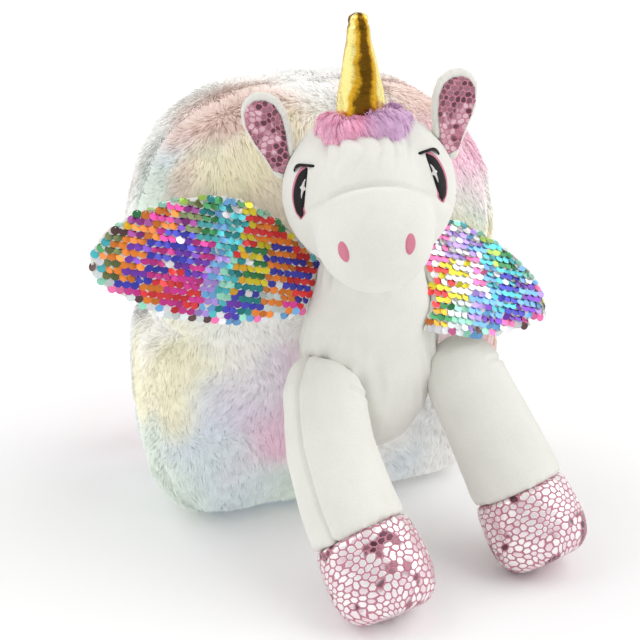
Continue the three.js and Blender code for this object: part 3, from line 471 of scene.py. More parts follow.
backSpots = [
    (75, 218, 30, "pink", 2.0), (55, 214, 26, "rose", 2.4), (38, 176, 24, "rose", 2.4), (95, 190, 22, "pink", 1.5),
    (45, 284, 18, "yellow", 1.8), (62, 268, 16, "sand", 1.0), (95, 250, 20, "peach", 1.4), (78, 246, 18, "rose", 1.0),
    (130, 225, 24, "lilac", 0.9), (120, 290, 26, "white", 1.2), (75, 118, 26, "peach", 1.8), (60, 145, 20, "rose", 1.0),
    (115, 140, 22, "sand", 1.0), (118, 85, 26, "yellow", 0.7), (75, 58, 26, "lilac", 0.8), (50, 78, 20, "peach", 1.3),
    (30, 96, 18, "rose", 0.9), (125, 45, 26, "mint", 1.0), (95, 24, 26, "blue", 1.0), (-25, 78, 20, "yellow", 1.2),
    (-48, 90, 18, "yellow", 1.6), (-65, 116, 18, "pink", 1.6), (-68, 150, 22, "rose", 2.0), (-88, 104, 16, "mint", 1.1),
    (-45, 58, 24, "grey", 1.0), (-5, 36, 28, "mint", 0.9), (-10, 130, 30, "rose", 1.4), (-8, 190, 34, "lilac", 1.0),
    (-20, 235, 26, "pink", 1.2), (-60, 210, 26, "pink", 1.2), (-100, 180, 28, "white", 1.4), (-105, 240, 28, "blue", 0.9),
    (-70, 275, 24, "white", 1.2), (-115, 60, 26, "pink", 0.8), (-90, 30, 24, "white", 1.0),
]


def dyed(points, spots, seed):
    total = np.full(len(points), 0.32)
    colour = total[:, None] * linear(dyes["white"])
    drift = np.stack([waves(points, 70, seed), waves(points, 70, seed + 1)], axis=1) * 9
    x, z = points[:, 0] + drift[:, 0], points[:, 2] + drift[:, 1]
    for spotX, spotZ, reach, dye, weight in spots:
        w = weight * np.exp(-((x - spotX) ** 2 + (z - spotZ) ** 2) / (2 * (reach * 0.8) ** 2))
        total += w
        colour += w[:, None] * linear(dyes[dye])
    return colour / total[:, None]


rimSpots = [
    (-122, 205, 22, "mint", 1.8), (-110, 246, 20, "sage", 2.2), (-92, 268, 14, "blue", 1.2), (-72, 286, 18, "dusk", 2.0), (-44, 297, 18, "peach", 1.2),
    (-10, 302, 30, "white", 1.4), (60, 292, 26, "peach", 1.0), (100, 262, 24, "pink", 1.6), (122, 225, 20, "white", 1.0), (118, 190, 20, "yellow", 1.1),
    (-132, 160, 22, "white", 1.0), (-130, 110, 24, "yellow", 1.2), (-126, 40, 30, "mint", 1.2), (-40, 4, 40, "blue", 0.8), (120, 120, 30, "peach", 1.2),
    (112, 45, 30, "white", 1.0),
]


def frontDye(points):
    rim = smoothstep(points[:, 1] + waves(points, 50, 9) * 2.5, -52, -40)[:, None]
    return dyed(points, frontSpots, 3) * (1 - rim) + dyed(points, rimSpots, 4) * rim


gussetSpots = [
    (100, 262, 26, "grey", 1.6), (70, 288, 20, "white", 1.4), (126, 228, 22, "white", 1.4), (30, 298, 26, "grey", 1.0), (-20, 300, 26, "white", 1.2),
    (-80, 284, 26, "white", 1.4), (-118, 240, 24, "white", 1.2), (132, 190, 20, "white", 1.3), (128, 140, 24, "sand", 1.0), (130, 95, 24, "white", 1.2),
    (126, 50, 24, "mint", 1.2), (90, 6, 30, "grey", 1.0), (0, 4, 40, "mint", 0.8), (-128, 130, 30, "grey", 0.9), (-126, 60, 30, "blue", 1.0), (-120, 190, 24, "pink", 0.7),
]


def backDye(points):
    behind = smoothstep(points[:, 1], -12, 32)[:, None]
    panel = smoothstep(points[:, 1] + waves(points, 50, 9) * 2.5, 38, 50)[:, None]
    gusset = frontDye(points) * (1 - behind) + dyed(points, gussetSpots, 7) * behind
    return gusset * (1 - panel) + dyed(points, backSpots, 5) * panel


# Fur: tapered locks rooted on a skin, combed, clumped and flattened where something lies on them
def trianglesOf(obj):
    obj.data.calc_loop_triangles()
    corners = np.empty(len(obj.data.loop_triangles) * 3, np.int32)
    obj.data.loop_triangles.foreach_get("vertices", corners)
    return places(obj)[corners].reshape(-1, 3, 3), normals(obj)[corners].reshape(-1, 3, 3)


def clearance(points, tree, reach):
    if tree is None:
        return np.full(len(points), float(reach))
    found = np.full(len(points), float(reach))
    for i, point in enumerate((points * mm).tolist()):
        hit = tree.find_nearest(point, reach * mm)
        if hit[3] is not None:
            found[i] = hit[3] / mm
    return found


def grown(name, skin, coat, dye, near=None, wanted=None):
    rng = np.random.default_rng(coat["seed"])
    corners, facing = trianglesOf(skin)
    if wanted is not None:
        keep = wanted(corners.mean(axis=1), facing.mean(axis=1))
        corners, facing = corners[keep], facing[keep]
    area = np.linalg.norm(np.cross(corners[:, 1] - corners[:, 0], corners[:, 2] - corners[:, 0]), axis=1)
    if coat.get("overZip"):  # thicker beside the zip
        spot = corners.mean(axis=1)
        area = area * (1 + 1.8 * (np.abs(spot[:, 1] - seamY) < 12) * (spot[:, 2] > 205))
    pick = rng.choice(len(area), coat["locks"], p=area / area.sum())
    a, b = rng.random(coat["locks"]), rng.random(coat["locks"])
    over = a + b > 1
    a[over], b[over] = 1 - a[over], 1 - b[over]
    share = np.stack([1 - a - b, a, b], axis=1)[:, :, None]
    root, out = (corners[pick] * share).sum(axis=1), unit((facing[pick] * share).sum(axis=1))
    room = clearance(root + out * 1.0, near, coat["length"] * 1.6)
    keep = room > 1.2
    root, out, room = root[keep], out[keep], room[keep]
    count = len(root)

    comb = np.tile(np.array(coat["comb"], float), (count, 1))
    comb += np.stack([waves(root, coat["swirl"], coat["seed"] + k) for k in range(3)], axis=1) * coat["unruly"]
    comb += rng.normal(size=(count, 3)) * coat["stray"]
    upward = smoothstep(out[:, 2], 0.1, 0.8)
    if coat.get("overZip"):
        apart = root[:, 1] - seamY
        lean = (1 - smoothstep(np.abs(apart), 7, 18)) * smoothstep(root[:, 2], 190, 212) * coat["overZip"]
        comb = comb * (1 - lean)[:, None] + np.stack([lean * 0, -np.sign(apart) * lean * 1.6, lean * 0], axis=1)
    lying = unit(comb - out * (comb * out).sum(axis=1, keepdims=True))
    rise = np.clip(coat.get("crest", 0) * upward + coat["rise"] + waves(root, coat["swirl"] * 0.6, coat["seed"] + 7) * 0.14
                   + rng.normal(size=count) * 0.1, 0.12, 1.2)
    if coat.get("overZip"):
        rise = rise * (1 - lean * 0.45)
    pressed = np.clip(room / (coat["length"] * 1.2), 0.15, 1)
    rise = (rise * pressed)[:, None]
    length = (coat["length"] * rng.uniform(0.72, 1.12, count) * (0.9 + 0.1 * waves(root, 30, coat["seed"] + 9))
              * (0.45 + 0.55 * pressed) * (1 + 0.6 * coat.get("crest", 0) * upward))[:, None]
    if coat.get("overZip"):
        valley = np.exp(-(((root[:, 1] - coat["seamAt"]) / 2.6) ** 2))[:, None]
        length = length * (1 + 0.6 * lean[:, None]) * (1 - 0.55 * valley)
    tip = root + unit(lying + out * rise) * length

    tufts = rng.choice(count, max(8, count // coat["perTuft"]), replace=False)
    finder = KDTree(len(tufts))
    for i, tuft in enumerate(tufts):
        finder.insert(root[tuft], i)
    finder.balance()
    mine = np.array([tufts[finder.find(point)[1]] for point in root])
    gather = (coat["gather"] * rng.uniform(0.5, 1.0, count))[:, None]
    tip = tip * (1 - gather) + tip[mine] * gather
    bend = root + (tip - root) * 0.42 + out * length * 0.13

    along = unit(tip - root)
    side = unit(np.cross(along, out) + rng.normal(size=(count, 3)) * 0.25)
    half = (coat["width"] / 2 * rng.uniform(0.7, 1.3, count))[:, None]
    points = np.stack([root, bend - side * half, bend + side * half, tip], axis=1)
    points[:, 1:, 2] = np.maximum(points[:, 1:, 2], rng.uniform(0.1, 1.2, (count, 1)))  # pressed flat by the floor
    uneven = 1 + rng.normal(size=count) * 0.03 + rng.normal(size=count)[mine] * 0.035
    tone = dye(root) * np.clip(uneven, 0.85, 1.1)[:, None]
    shades = np.stack([tone * coat["rootShade"], tone * 0.97, tone * 0.97, tone * 0.97 + 0.03], axis=1)

    corner = (np.arange(count)[:, None] * 4 + np.array([0, 2, 1, 1, 2, 3])).ravel()  # a leaf folded at its bend
    mesh = bpy.data.meshes.new(name)
    mesh.vertices.add(count * 4)
    mesh.vertices.foreach_set("co", (points * mm).astype(np.float32).ravel())
    mesh.loops.add(count * 6)
    mesh.loops.foreach_set("vertex_index", corner.astype(np.int32))
    mesh.polygons.add(count * 2)
    mesh.polygons.foreach_set("loop_start", (np.arange(count * 2) * 3).astype(np.int32))
    mesh.polygons.foreach_set("use_smooth", [True] * (count * 2))
    mesh.update(calc_edges=True)
    tinted(mesh, "dye", np.clip(shades, 0, 1).reshape(-1, 3))
    cells = math.ceil(math.sqrt(count))  # every lock has its own cell on the map
    cell = np.stack([np.arange(count) % cells, np.arange(count) // cells], axis=1)[:, None, :]
    spread = np.array([(0.5, 0.1), (0.85, 0.5), (0.15, 0.5), (0.15, 0.5), (0.85, 0.5), (0.5, 0.9)])
    mapped(mesh, (cell + spread) / cells, "OFBake")
    upright = unit(np.cross(unit(np.cross(along, out)), along))
    soft = unit(np.repeat(out, 4, axis=0) * coat["soften"] + np.repeat(upright, 4, axis=0) * (1 - coat["soften"]))
    mesh.normals_split_custom_set_from_vertices(soft.astype(np.float32).tolist())
    mesh.materials.append(paints["fur"])
    obj = bpy.data.objects.new(name, mesh)
    scene.collection.objects.link(obj)
    print(name, count, "locks")
    return obj


# painted shade: the cloth under the pile is drawn darker, as the pile shades it
clothShade = 0.85  # the cloth under the pile is darker


def coloured(obj, dye):
    tinted(obj.data, "dye", dye(places(obj)) * clothShade)
    return obj


def finished(obj, node):
    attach(obj, "root")
    if node:
        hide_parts(*([node] if isinstance(node, str) else node))
    return obj


# Bag: two lofted shells of fur cloth that meet at the zip
bag = {
    "width": 252, "height": 300, "depth": 110, "zipFromFront": 44, "topRadius": 94, "baseRadius": 42,
    "frontCrown": 10, "backCrown": 5, "frontBelly": 12, "seamBelly": 9, "backBelly": 2, "bellyHeight": 96, "bellySpan": 56,
    "pinchDepth": 18, "pinchHeight": 150, "pinchSpan": 10, "panelCentre": 140, "pile": 3.6, "zipSlot": 9, "seamGap": 0.4,
    "pileLift": 5, "seamAt": {"front": -47.5, "back": 46.5}, "seamDepth": 2.2,
    "sections": [(0.3, 0, 1), (0.6, 0, 1), (0.84, 0, 0.985), (0.96, 0, 0.955), (1, 0.22, 0.9), (1, 0.45, 0.78), (1, 0.62, 0.66),
                 (1, 0.78, 0.5), (1, 0.9, 0.34), (1, 0.97, 0.17)],  # reach, crown, spread
}
bagFront, bagBack = -bag["depth"] / 2, bag["depth"] / 2
seamY = bagFront + bag["zipFromFront"]
zipFoot = bag["pinchHeight"] + bag["pinchSpan"] / 2


def bump(value, centre, span):
    return math.exp(-(((value - centre) / span) ** 2))


def bagOutline(inset, belly):
    half, foot, top = bag["width"] / 2 - inset, inset, bag["height"] - inset
    baseRadius, topRadius = bag["baseRadius"] - inset, bag["topRadius"] - inset
    sideFoot, sideTop = foot + baseRadius, top - topRadius
    right = [((half - baseRadius) * share, foot) for share in (0.35, 0.7)]
    for i in range(7):
        turn = i / 6 * math.pi / 2
        right.append((half - baseRadius + baseRadius * math.sin(turn), sideFoot - baseRadius * math.cos(turn)))
    low, high = bag["pinchHeight"] - 1.6 * bag["pinchSpan"], bag["pinchHeight"] + 1.6 * bag["pinchSpan"]
    right += [(half, sideFoot + (low - sideFoot) * share) for share in (0.2, 0.4, 0.6, 0.8)]
    right += [(half, low + (high - low) * i / 8) for i in range(9)]
    right += [(half, high + (sideTop - high) * 0.5)]
    for i in range(11):
        turn = i / 10 * math.pi / 2
        right.append((half - topRadius + topRadius * math.cos(turn), sideTop + topRadius * math.sin(turn)))
    right.append(((half - topRadius) * 0.5, top))
    shifted = []
    for x, z in right:
        share = min(1, max(0, (x - (half - baseRadius)) / baseRadius))
        shift = belly * bump(z, bag["bellyHeight"], bag["bellySpan"]) - bag["pinchDepth"] * bump(z, bag["pinchHeight"], bag["pinchSpan"])
        shifted.append((x + shift * share, z))
    return [(0, foot), *shifted, (0, top), *[(-x, z) for x, z in reversed(shifted)]]


def ringFaces(rings, around, closed=True):
    faces = []
    for i in range(rings - 1):
        for k in range(around if closed else around - 1):
            a, b = i * around + k, i * around + (k + 1) % around
            faces.append([a, b, b + around, a + around])
    return faces


def bagSkin(name, outward):
    front = outward < 0
    depth = (bag["zipFromFront"] if front else bag["depth"] - bag["zipFromFront"]) - bag["pile"]
    crown = bag["frontCrown" if front else "backCrown"]
    panelBelly = bag["frontBelly" if front else "backBelly"]
    rings = []
    for lip in (14, 2):
        outline = bagOutline(bag["pile"] + lip, bag["seamBelly"])
        opened = [float(smoothstep(z, bag["pinchHeight"] - bag["pinchSpan"], zipFoot)) for _, z in outline]
        slot = [(bag["seamGap"] + (bag["zipSlot"] + 2 - bag["seamGap"]) * share) / 2 for share in opened]
        rings.append([(x, seamY + outward * s, z) for (x, z), s in zip(outline, slot)])
    outline = bagOutline(bag["pile"], bag["seamBelly"])
    rings.append([(x, seamY + outward * (s + 1.5), z) for (x, z), s in zip(outline, slot)])
    for reach, height, spread in bag["sections"]:
        outline = bagOutline(bag["pile"], bag["seamBelly"] + (panelBelly - bag["seamBelly"]) * reach)
        centre = bag["panelCentre"]
        y = seamY + outward * (depth * reach + crown * height)
        rings.append([(x * spread, y, centre + (z - centre) * spread) for x, z in outline])
    points = [p for ring in rings for p in ring]
    around = len(rings[0])
    faces = ringFaces(len(rings), around)
    points.append((0, seamY + outward * (depth + crown), bag["panelCentre"]))
    points = np.array(points, float)
    points[:, 2] += bag["pileLift"] * smoothstep(points[:, 2], 205, 290)
    last = (len(rings) - 1) * around
    faces += [[last + k, last + (k + 1) % around, len(points) - 1] for k in range(around)]
    if not front:
        faces = [face[::-1] for face in faces]
    skin = smoothed(built(name, points, faces, paints["fur"]))
    co = places(skin)
    seamAt = bag["seamAt"]["front" if front else "back"]
    valley = bag["seamDepth"] * np.exp(-(((co[:, 1] - seamAt) / 4.5) ** 2)) * smoothstep(co[:, 2], 14, 40)
    return moved(skin, co - normals(skin) * valley[:, None])


coats = {
    "front": {"locks": 58000, "length": 8.0, "width": 0.86, "comb": (0, 0, -1), "swirl": 75, "unruly": 0.42, "stray": 0.16,
              "rise": 0.48, "crest": 0.12, "overZip": 0.97, "seamAt": bag["seamAt"]["front"], "perTuft": 26, "gather": 0.34,
              "rootShade": 0.92, "soften": 0.84, "seed": 11},
}
coats["back"] = {**coats["front"], "seed": 23, "seamAt": bag["seamAt"]["back"]}
coats["pad"] = {**coats["front"], "crest": 0, "overZip": 0, "locks": 20000, "length": 7.5, "width": 1.0, "comb": (0, 0.1, -1),
                "rise": 0.35, "seed": 31, "perTuft": 40}
coats["forelock"] = {**coats["front"], "crest": 0, "overZip": 0, "locks": 9000, "length": 13.0, "width": 0.6, "comb": (-0.15, -0.6, -1),
                     "rise": 0.16, "seed": 41, "perTuft": 90, "unruly": 0.3, "gather": 0.42}

frontSkin = bagSkin("bagFrontCloth", -1)
backSkin = bagSkin("bagBackCloth", 1)
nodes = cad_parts
frontNeighbours = treeOf(*[nodes[n] for n in ("torso", "head", "wing_left", "wing_right", "leg_left", "leg_right", "horn", "ear_left", "ear_right")])
backNeighbours = treeOf(*[nodes[n] for n in ("shoulder_pad_left", "shoulder_pad_right", "back_label", "grab_loop", "strap_webbing_left",
                                              "strap_webbing_right", "anchor_tab_left", "anchor_tab_right")])
coloured(frontSkin, frontDye)
coloured(backSkin, backDye)


def outside(points, facing):  # not the lips that turn in at the zip
    return facing[:, 1] * np.sign(points[:, 1] - seamY) > -0.35


def upper(points, facing):
    return outside(points, facing) & (points[:, 2] >= bag["pinchHeight"])


def lower(points, facing):
    return outside(points, facing) & (points[:, 2] < bag["pinchHeight"])


finished(frontSkin, "front_shell")
finished(backSkin, "rear_shell")
for piece, skin, coat, dye, near in (("bagFrontFur", frontSkin, "front", frontDye, frontNeighbours),
                                     ("bagBackFur", backSkin, "back", backDye, backNeighbours)):
    for half, where in (("Upper", upper), ("Lower", lower)):
        locks = grown(piece + half, skin, {**coats[coat], "seed": coats[coat]["seed"] + len(half)}, dye, near, where)
        finished(locks, None)
print("bag made")


# Zip: woven tape, two rows of teeth and a slider on the right side
zipParts = {
    "recess": 2.4, "thickness": 1.4, "tapeWidth": 8.2, "toothPitch": 2.1, "toothLength": 1.25, "toothReach": 2.9,
    "toothRise": 0.95, "toothAside": 0.75, "toothThickness": 1.35,
}


def zipRoute(recess):
    outline = [(x, z) for x, z in bagOutline(recess, bag["seamBelly"]) if z > zipFoot + 0.5]
    return np.array([(x, seamY, z) for x, z in outline], float)


def evenly(points, pitch):
    steps = np.linalg.norm(np.diff(points, axis=0), axis=1)
    run = np.concatenate([[0], np.cumsum(steps)])
    at = np.linspace(0, run[-1], max(2, int(run[-1] / pitch) + 1))
    return np.stack([np.interp(at, run, points[:, k]) for k in range(3)], axis=1), at


def zipTape():
    route, run = evenly(zipRoute(zipParts["recess"]), 3.0)
    tangent = unit(np.gradient(route, axis=0))
    out = unit(np.cross(tangent, np.array([0, -1.0, 0])))
    half, thick = zipParts["tapeWidth"] / 2, zipParts["thickness"]
    section = [(-half, 0), (-half * 0.5, 0.15), (half * 0.5, 0.15), (half, 0), (half, -thick), (-half, -thick)]
    points = np.stack([route + np.array([0, y, 0]) + out * rise for y, rise in section], axis=1).reshape(-1, 3)
    uv = np.array([[y + (20 if rise < -0.5 else 0), s] for s in run for y, rise in section])
    faces = ringFaces(len(route), len(section))
    faces += [list(range(len(section)))[::-1], [len(points) - len(section) + k for k in range(len(section))]]
    return built("zipTape", points, faces, paints["zipTape"], uv)


def boxes(centres, axes, sizes):  # many small bevelled blocks in one mesh; axes are rows of (across, along, out)
    corners = np.array([(x, y, z) for z, s in ((-1, 1.0), (0.55, 1.0), (1, 0.72)) for x, y in ((-s, -s), (s, -s), (s, s), (-s, s))], float)
    local = corners[None] * np.asarray(sizes, float)[:, None, :] / 2
    points = np.asarray(centres)[:, None, :] + np.einsum("nki,nij->nkj", local, np.asarray(axes))
    walls = [[r * 4 + k, r * 4 + (k + 1) % 4, r * 4 + 4 + (k + 1) % 4, r * 4 + 4 + k] for r in range(2) for k in range(4)]
    block = np.array([[3, 2, 1, 0], [8, 9, 10, 11]] + walls)
    faces = (np.arange(len(points))[:, None, None] * 12 + block).reshape(-1, 4)
    return points.reshape(-1, 3), faces


def zipTeeth():
    route, _ = evenly(zipRoute(zipParts["recess"] - zipParts["toothRise"]), zipParts["toothPitch"])
    tangent = unit(np.gradient(route, axis=0))
    across = np.tile(np.array([0, 1.0, 0]), (len(route), 1))
    out = unit(np.cross(across, tangent))
    side = np.where(np.arange(len(route)) % 2 == 0, 1.0, -1.0)[:, None]
    centres = route + across * side * zipParts["toothAside"]
    axes = np.stack([across, tangent, out], axis=1)
    sizes = np.tile([zipParts[name] for name in ("toothReach", "toothLength", "toothThickness")], (len(route), 1))
    points, faces = boxes(centres, axes, sizes)
    return built("zipTeeth", points, faces, paints["zipTeeth"], smooth=False)


def bevelled(name, node, paint, width, flat=False):
    obj = bpy.data.objects.new(name, nodes[node].data.copy())
    scene.collection.objects.link(obj)
    obj.data.materials.clear()
    obj.data.materials.append(paint)
    modified(obj, ("WELD", {"merge_threshold": 1e-5}), ("DECIMATE", {"decimate_type": "DISSOLVE", "angle_limit": 0.03}),
             ("BEVEL", {"width": width * mm, "segments": 2, "limit_method": "ANGLE", "angle_limit": 0.6}))
    obj.data.polygons.foreach_set("use_smooth", [True] * len(obj.data.polygons))
    modified(obj, ("WEIGHTED_NORMAL", {"keep_sharp": True}))
    if flat:
        middle, (along, across, _) = broadFrame(obj)
        uv = (places(obj) - middle) @ np.stack([across, along], axis=1)
        mapped(obj.data, uv[cornerVertices(obj.data)])
    return obj


def broadFrame(obj):  # a flat piece's middle, and its long, short and thin directions
    co = places(obj)
    middle = (co.max(axis=0) + co.min(axis=0)) / 2
    return middle, np.linalg.svd(co - co.mean(axis=0), full_matrices=False)[2]


def stitches(name, runs, length=2.6, gap=1.1, thick=0.45):  # short threads along runs of points, with the cloth's facing
    points, faces = [], []
    for run, facing in runs:
        run = np.array(run, float)
        steps = np.linalg.norm(np.diff(run, axis=0), axis=1)
        at = np.concatenate([[0], np.cumsum(steps)])
        for start in np.arange(0.3, at[-1] - length, length + gap):
            ends = [np.array([np.interp(start + part * length, at, run[:, k]) for k in range(3)]) for part in (0, 0.5, 1)]
            along = unit(ends[2] - ends[0])
            side = np.cross(facing, along)
            base = len(points)
            for end, rise, wide in zip(ends, (-0.12, 0.24, -0.12), (0.55, 1, 0.55)):
                for k in range(6):
                    turn = k / 6 * 2 * math.pi
                    points.append(end + facing * (rise + math.sin(turn) * thick / 2) + side * math.cos(turn) * thick / 2 * wide)
            faces += [[base + r * 6 + k, base + r * 6 + (k + 1) % 6, base + r * 6 + 6 + (k + 1) % 6, base + r * 6 + 6 + k]
                      for r in range(2) for k in range(6)]
            faces += [[base + k for k in range(6)][::-1], [base + 12 + k for k in range(6)]]
    return built(name, points, faces, paints["white"], np.array(points)[:, [0, 2]])


finished(zipTape(), "zip_tape")
finished(zipTeeth(), "zip_chain")
finished(bevelled("zipSlider", "zip_slider", paints["zipTeeth"], 0.35), "zip_slider")
print("zip made")


# Straps: fur pads, webbing that weaves through its adjuster and folds round a tab at the base
strap = {
    "width": 25, "thickness": 1.6, "bar": 3, "slot": 5.6, "gap": 0.35, "adjusterShare": 0.53, "steps": 46, "foldRadius": 2.7, "returnShare": 0.36,
}
strapRoutes = {
    "left": {
        "webbing": [(-85.8, 39.6, 139.4), (-92, 42.6, 126.6), (-95.5, 47.5, 111), (-94, 51, 92), (-87, 47, 74), (-79.5, 40, 60),
                    (-72, 33, 46), (-63, 23, 33), (-54, 14, 23)],
        "across": (0.86, 0, 0.42), "lowAcross": (0.72, 0.45, -0.5),
    },
    "right": {
        "webbing": [(10.6, 43.6, 125.5), (11.8, 45.4, 111), (16, 48.3, 97), (26, 49, 81), (34.5, 46, 66), (40, 39.5, 53),
                    (45.5, 33, 40), (55, 22, 28), (66, 12, 18)],
        "across": (1, 0, 0), "lowAcross": (0.97, -0.12, 0.13),
    },
}


def smoothRoute(points, steps):  # an even run along a curve through the points
    p = [np.array(q, float) for q in points]
    p = [2 * p[0] - p[1], *p, 2 * p[-1] - p[-2]]
    dense = []
    for p0, p1, p2, p3 in zip(p, p[1:], p[2:], p[3:]):
        d0, d1, d2 = (max(1e-4, np.linalg.norm(b - a) ** 0.5) for a, b in ((p0, p1), (p1, p2), (p2, p3)))
        t1 = ((p1 - p0) / d0 - (p2 - p0) / (d0 + d1) + (p2 - p1) / d1) * d1
        t2 = ((p2 - p1) / d1 - (p3 - p1) / (d1 + d2) + (p3 - p2) / d2) * d1
        for u in np.linspace(0, 1, 60, endpoint=False):
            dense.append(p1 + t1 * u + (-3 * p1 + 3 * p2 - 2 * t1 - t2) * u * u + (2 * p1 - 2 * p2 + t1 + t2) * u ** 3)
    dense = np.array([*dense, p[-2]])
    run = np.concatenate([[0], np.cumsum(np.linalg.norm(np.diff(dense, axis=0), axis=1))])
    slope = unit(np.gradient(dense, run, axis=0))
    at = np.linspace(0, run[-1], steps + 1)
    pick = lambda values: np.stack([np.interp(at, run, values[:, k]) for k in range(3)], axis=1)
    return pick(dense), unit(pick(slope)), run[-1]


def weaveAt(away):
    pitch = strap["bar"] + strap["slot"]
    off = strap["bar"] / 2 + strap["thickness"] / 2 + 2 * strap["gap"]
    steps = abs(away) / pitch
    if steps < 1:
        return off * min(1, max(-1, 1.7 * math.cos(steps * math.pi)))
    return -off * min(1, max(0, 2.3 - steps))


def strapStations(route):
    points = [(x, bagBack + y, z) for x, y, z in route["webbing"]]
    place, tangent, length = smoothRoute(points, strap["steps"])
    share = smoothstep(np.linspace(0, 1, strap["steps"] + 1), 0, 0.38)[:, None]
    across = unit(np.array(route["across"], float)) * (1 - share) + unit(np.array(route["lowAcross"], float)) * share
    across = unit(across - tangent * (across * tangent).sum(axis=1, keepdims=True))
    out = unit(np.cross(tangent, across))
    middle = round(strap["adjusterShare"] * strap["steps"])
    place0, across0, out0 = place[middle].copy(), across[middle].copy(), out[middle].copy()
    tangent0 = np.cross(across0, out0)
    half = strap["bar"] + strap["slot"] + strap["bar"] / 2 + 0.6
    stations = []
    for i in range(strap["steps"] + 1):
        away = (i - middle) / strap["steps"] * length
        free = float(smoothstep(abs(away), half, half + 9))
        straight = place0 + tangent0 * away + out0 * weaveAt(away)
        stations.append((straight * (1 - free) + place[i] * free, unit(across0 * (1 - free) + across[i] * free),
                         unit(out0 * (1 - free) + out[i] * free)))
    return stations


def foldedBack(stations):
    place, across, out = stations[-1]
    tangent = unit(np.cross(across, out))
    radius = strap["foldRadius"]
    fold = []
    for i in range(1, 9):
        turn = i / 8 * math.pi
        away = out * math.cos(turn) + tangent * math.sin(turn)
        fold.append((place - out * radius + away * radius, across, away))
    steps = round(strap["steps"] * strap["returnShare"])
    back = []
    for i in range(1, steps + 1):
        place, across, out = stations[-1 - i]
        apart = 2 * radius + (strap["thickness"] + 2 * strap["gap"] - 2 * radius) * float(smoothstep(i / steps, 0.75, 0.95))
        back.append((place - out * apart, across, -out))
    return [*stations, *fold, *back]


def band(name, stations, width, thickness, paint):
    flat = [(-1, 0.25), (-0.94, 0.5), (-0.5, 0.5), (0, 0.5), (0.5, 0.5), (0.94, 0.5), (1, 0.25)]
    section = [*flat, *[(s, -t) for s, t in reversed(flat)]]
    points, uv, run = [], [], 0.0
    for i, (place, across, out) in enumerate(stations):
        run += float(np.linalg.norm(place - stations[i - 1][0])) if i else 0
        for s, t in section:
            points.append(place + across * s * width / 2 + out * t * thickness)
            uv.append((s * width / 2, run + (0 if t > 0 else 0.6)))
    faces = ringFaces(len(stations), len(section))
    faces += [list(range(len(section)))[::-1], [len(points) - len(section) + k for k in range(len(section))]]
    return smoothed(built(name, points, faces, paint, uv))


padStuffing = {"pressure": 4, "stiffness": 12, "bending": 0.4, "frames": 20, "cap": 5}
padSunk = 2.2  # the cloth lies this far under the middle of the pile


def padDye(points):
    white, pink, lilac, grey = (linear(dyes[n]) for n in ("white", "pink", "lilac", "grey"))
    high = smoothstep(points[:, 2], 225, 275)[:, None] * 0.7
    low = smoothstep(-points[:, 2], -165, -125)[:, None] * 0.65
    patch = smoothstep(waves(points, 45, 77), 0.4, 1.6)[:, None] * 0.5
    middle = white * (1 - patch) + grey * patch
    tint = middle * (1 - high) + pink * high
    return tint * (1 - low) + (lilac * 0.4 + pink * 0.6) * low


for side in ("left", "right"):
    title = side.capitalize()
    pad = softCopy("shoulderPad" + title, "shoulder_pad_" + side, paints["fur"], 4.0, 6, 0.2)
    puffed(pad, padStuffing)
    smoothed(pad)
    moved(pad, places(pad) - normals(pad) * padSunk)
    coloured(pad, padDye)
    finished(pad, "shoulder_pad_" + side)
    tree = treeOf(nodes["strap_webbing_" + side], nodes["grab_loop"])
    finished(grown("padFur" + title, pad, {**coats["pad"], "seed": 31 + len(side)}, padDye, tree), None)
    stations = foldedBack(strapStations(strapRoutes[side]))
    finished(band("strapWebbing" + title, stations, strap["width"], strap["thickness"], paints["webbing"]), "strap_webbing_" + side)
    finished(bevelled("strapAdjuster" + title, "strap_adjuster_" + side, paints["clear"], 0.5), "strap_adjuster_" + side)
    finished(bevelled("anchorTab" + title, "anchor_tab_" + side, paints["webbing"], 0.3, flat=True), "anchor_tab_" + side)
print("straps made")


# Grab loop and back label
loop = {"right": (24, 291), "left": (-35, 283), "reach": 23, "bend": 14, "width": 25}


def grabLoop():
    (rightX, rightZ), (leftX, leftZ) = loop["right"], loop["left"]
    straight = loop["reach"] - loop["bend"] + 10
    arc = loop["bend"] * math.pi / 2
    total = 2 * (straight + arc) + rightX - leftX - 2 * loop["bend"]
    stations = []
    for i in range(49):
        distance = i / 48 * total
        fromEnd = min(distance, total - distance)
        mirror = 1 if distance < total / 2 else -1
        turn = min(math.pi / 2, max(0, (fromEnd - straight) / loop["bend"]))
        along = max(0, fromEnd - straight - arc)
        x = (rightX if mirror > 0 else leftX) - mirror * (loop["bend"] * (1 - math.cos(turn)) + along)
        y = min(fromEnd, straight) - 10 + loop["bend"] * math.sin(turn)
        z = rightZ + (leftZ - rightZ) * distance / total - 4 * math.sin(turn) ** 2
        sag = 0.5 * math.sin(turn)
        across = np.array((math.cos(turn) * mirror, math.sin(turn) * math.cos(sag), -math.sin(turn) * math.sin(sag)))
        path = np.array((-math.sin(turn), math.cos(turn) * mirror, 0))
        stations.append((np.array((x, bagBack + y, z)), across, unit(np.cross(path, across))))
    return stations


finished(band("grabLoop", grabLoop(), loop["width"], strap["thickness"], paints["webbing"]), "grab_loop")
label = bevelled("backLabel", "back_label", paints["label"], 0.2, flat=True)
finished(label, "back_label")
middle, (labelAlong, labelAcross, labelOut) = broadFrame(label)
labelOut = labelOut if labelOut[1] > 0 else -labelOut
extent = (places(label) - middle) @ np.stack([labelAlong, labelAcross, labelOut], axis=1)
halfLong, halfShort, halfThick = np.abs(extent).max(axis=0)
labelMargin = 1.8
corners = [middle + labelAlong * (halfLong - labelMargin) * a + labelAcross * (halfShort - labelMargin) * b + labelOut * halfThick
           for a, b in ((-1, -1), (1, -1), (1, 1), (-1, 1), (-1, -1))]
finished(stitches("labelStitches", [([p, q], labelOut) for p, q in zip(corners, corners[1:])]), None)
print("grab loop and label made")


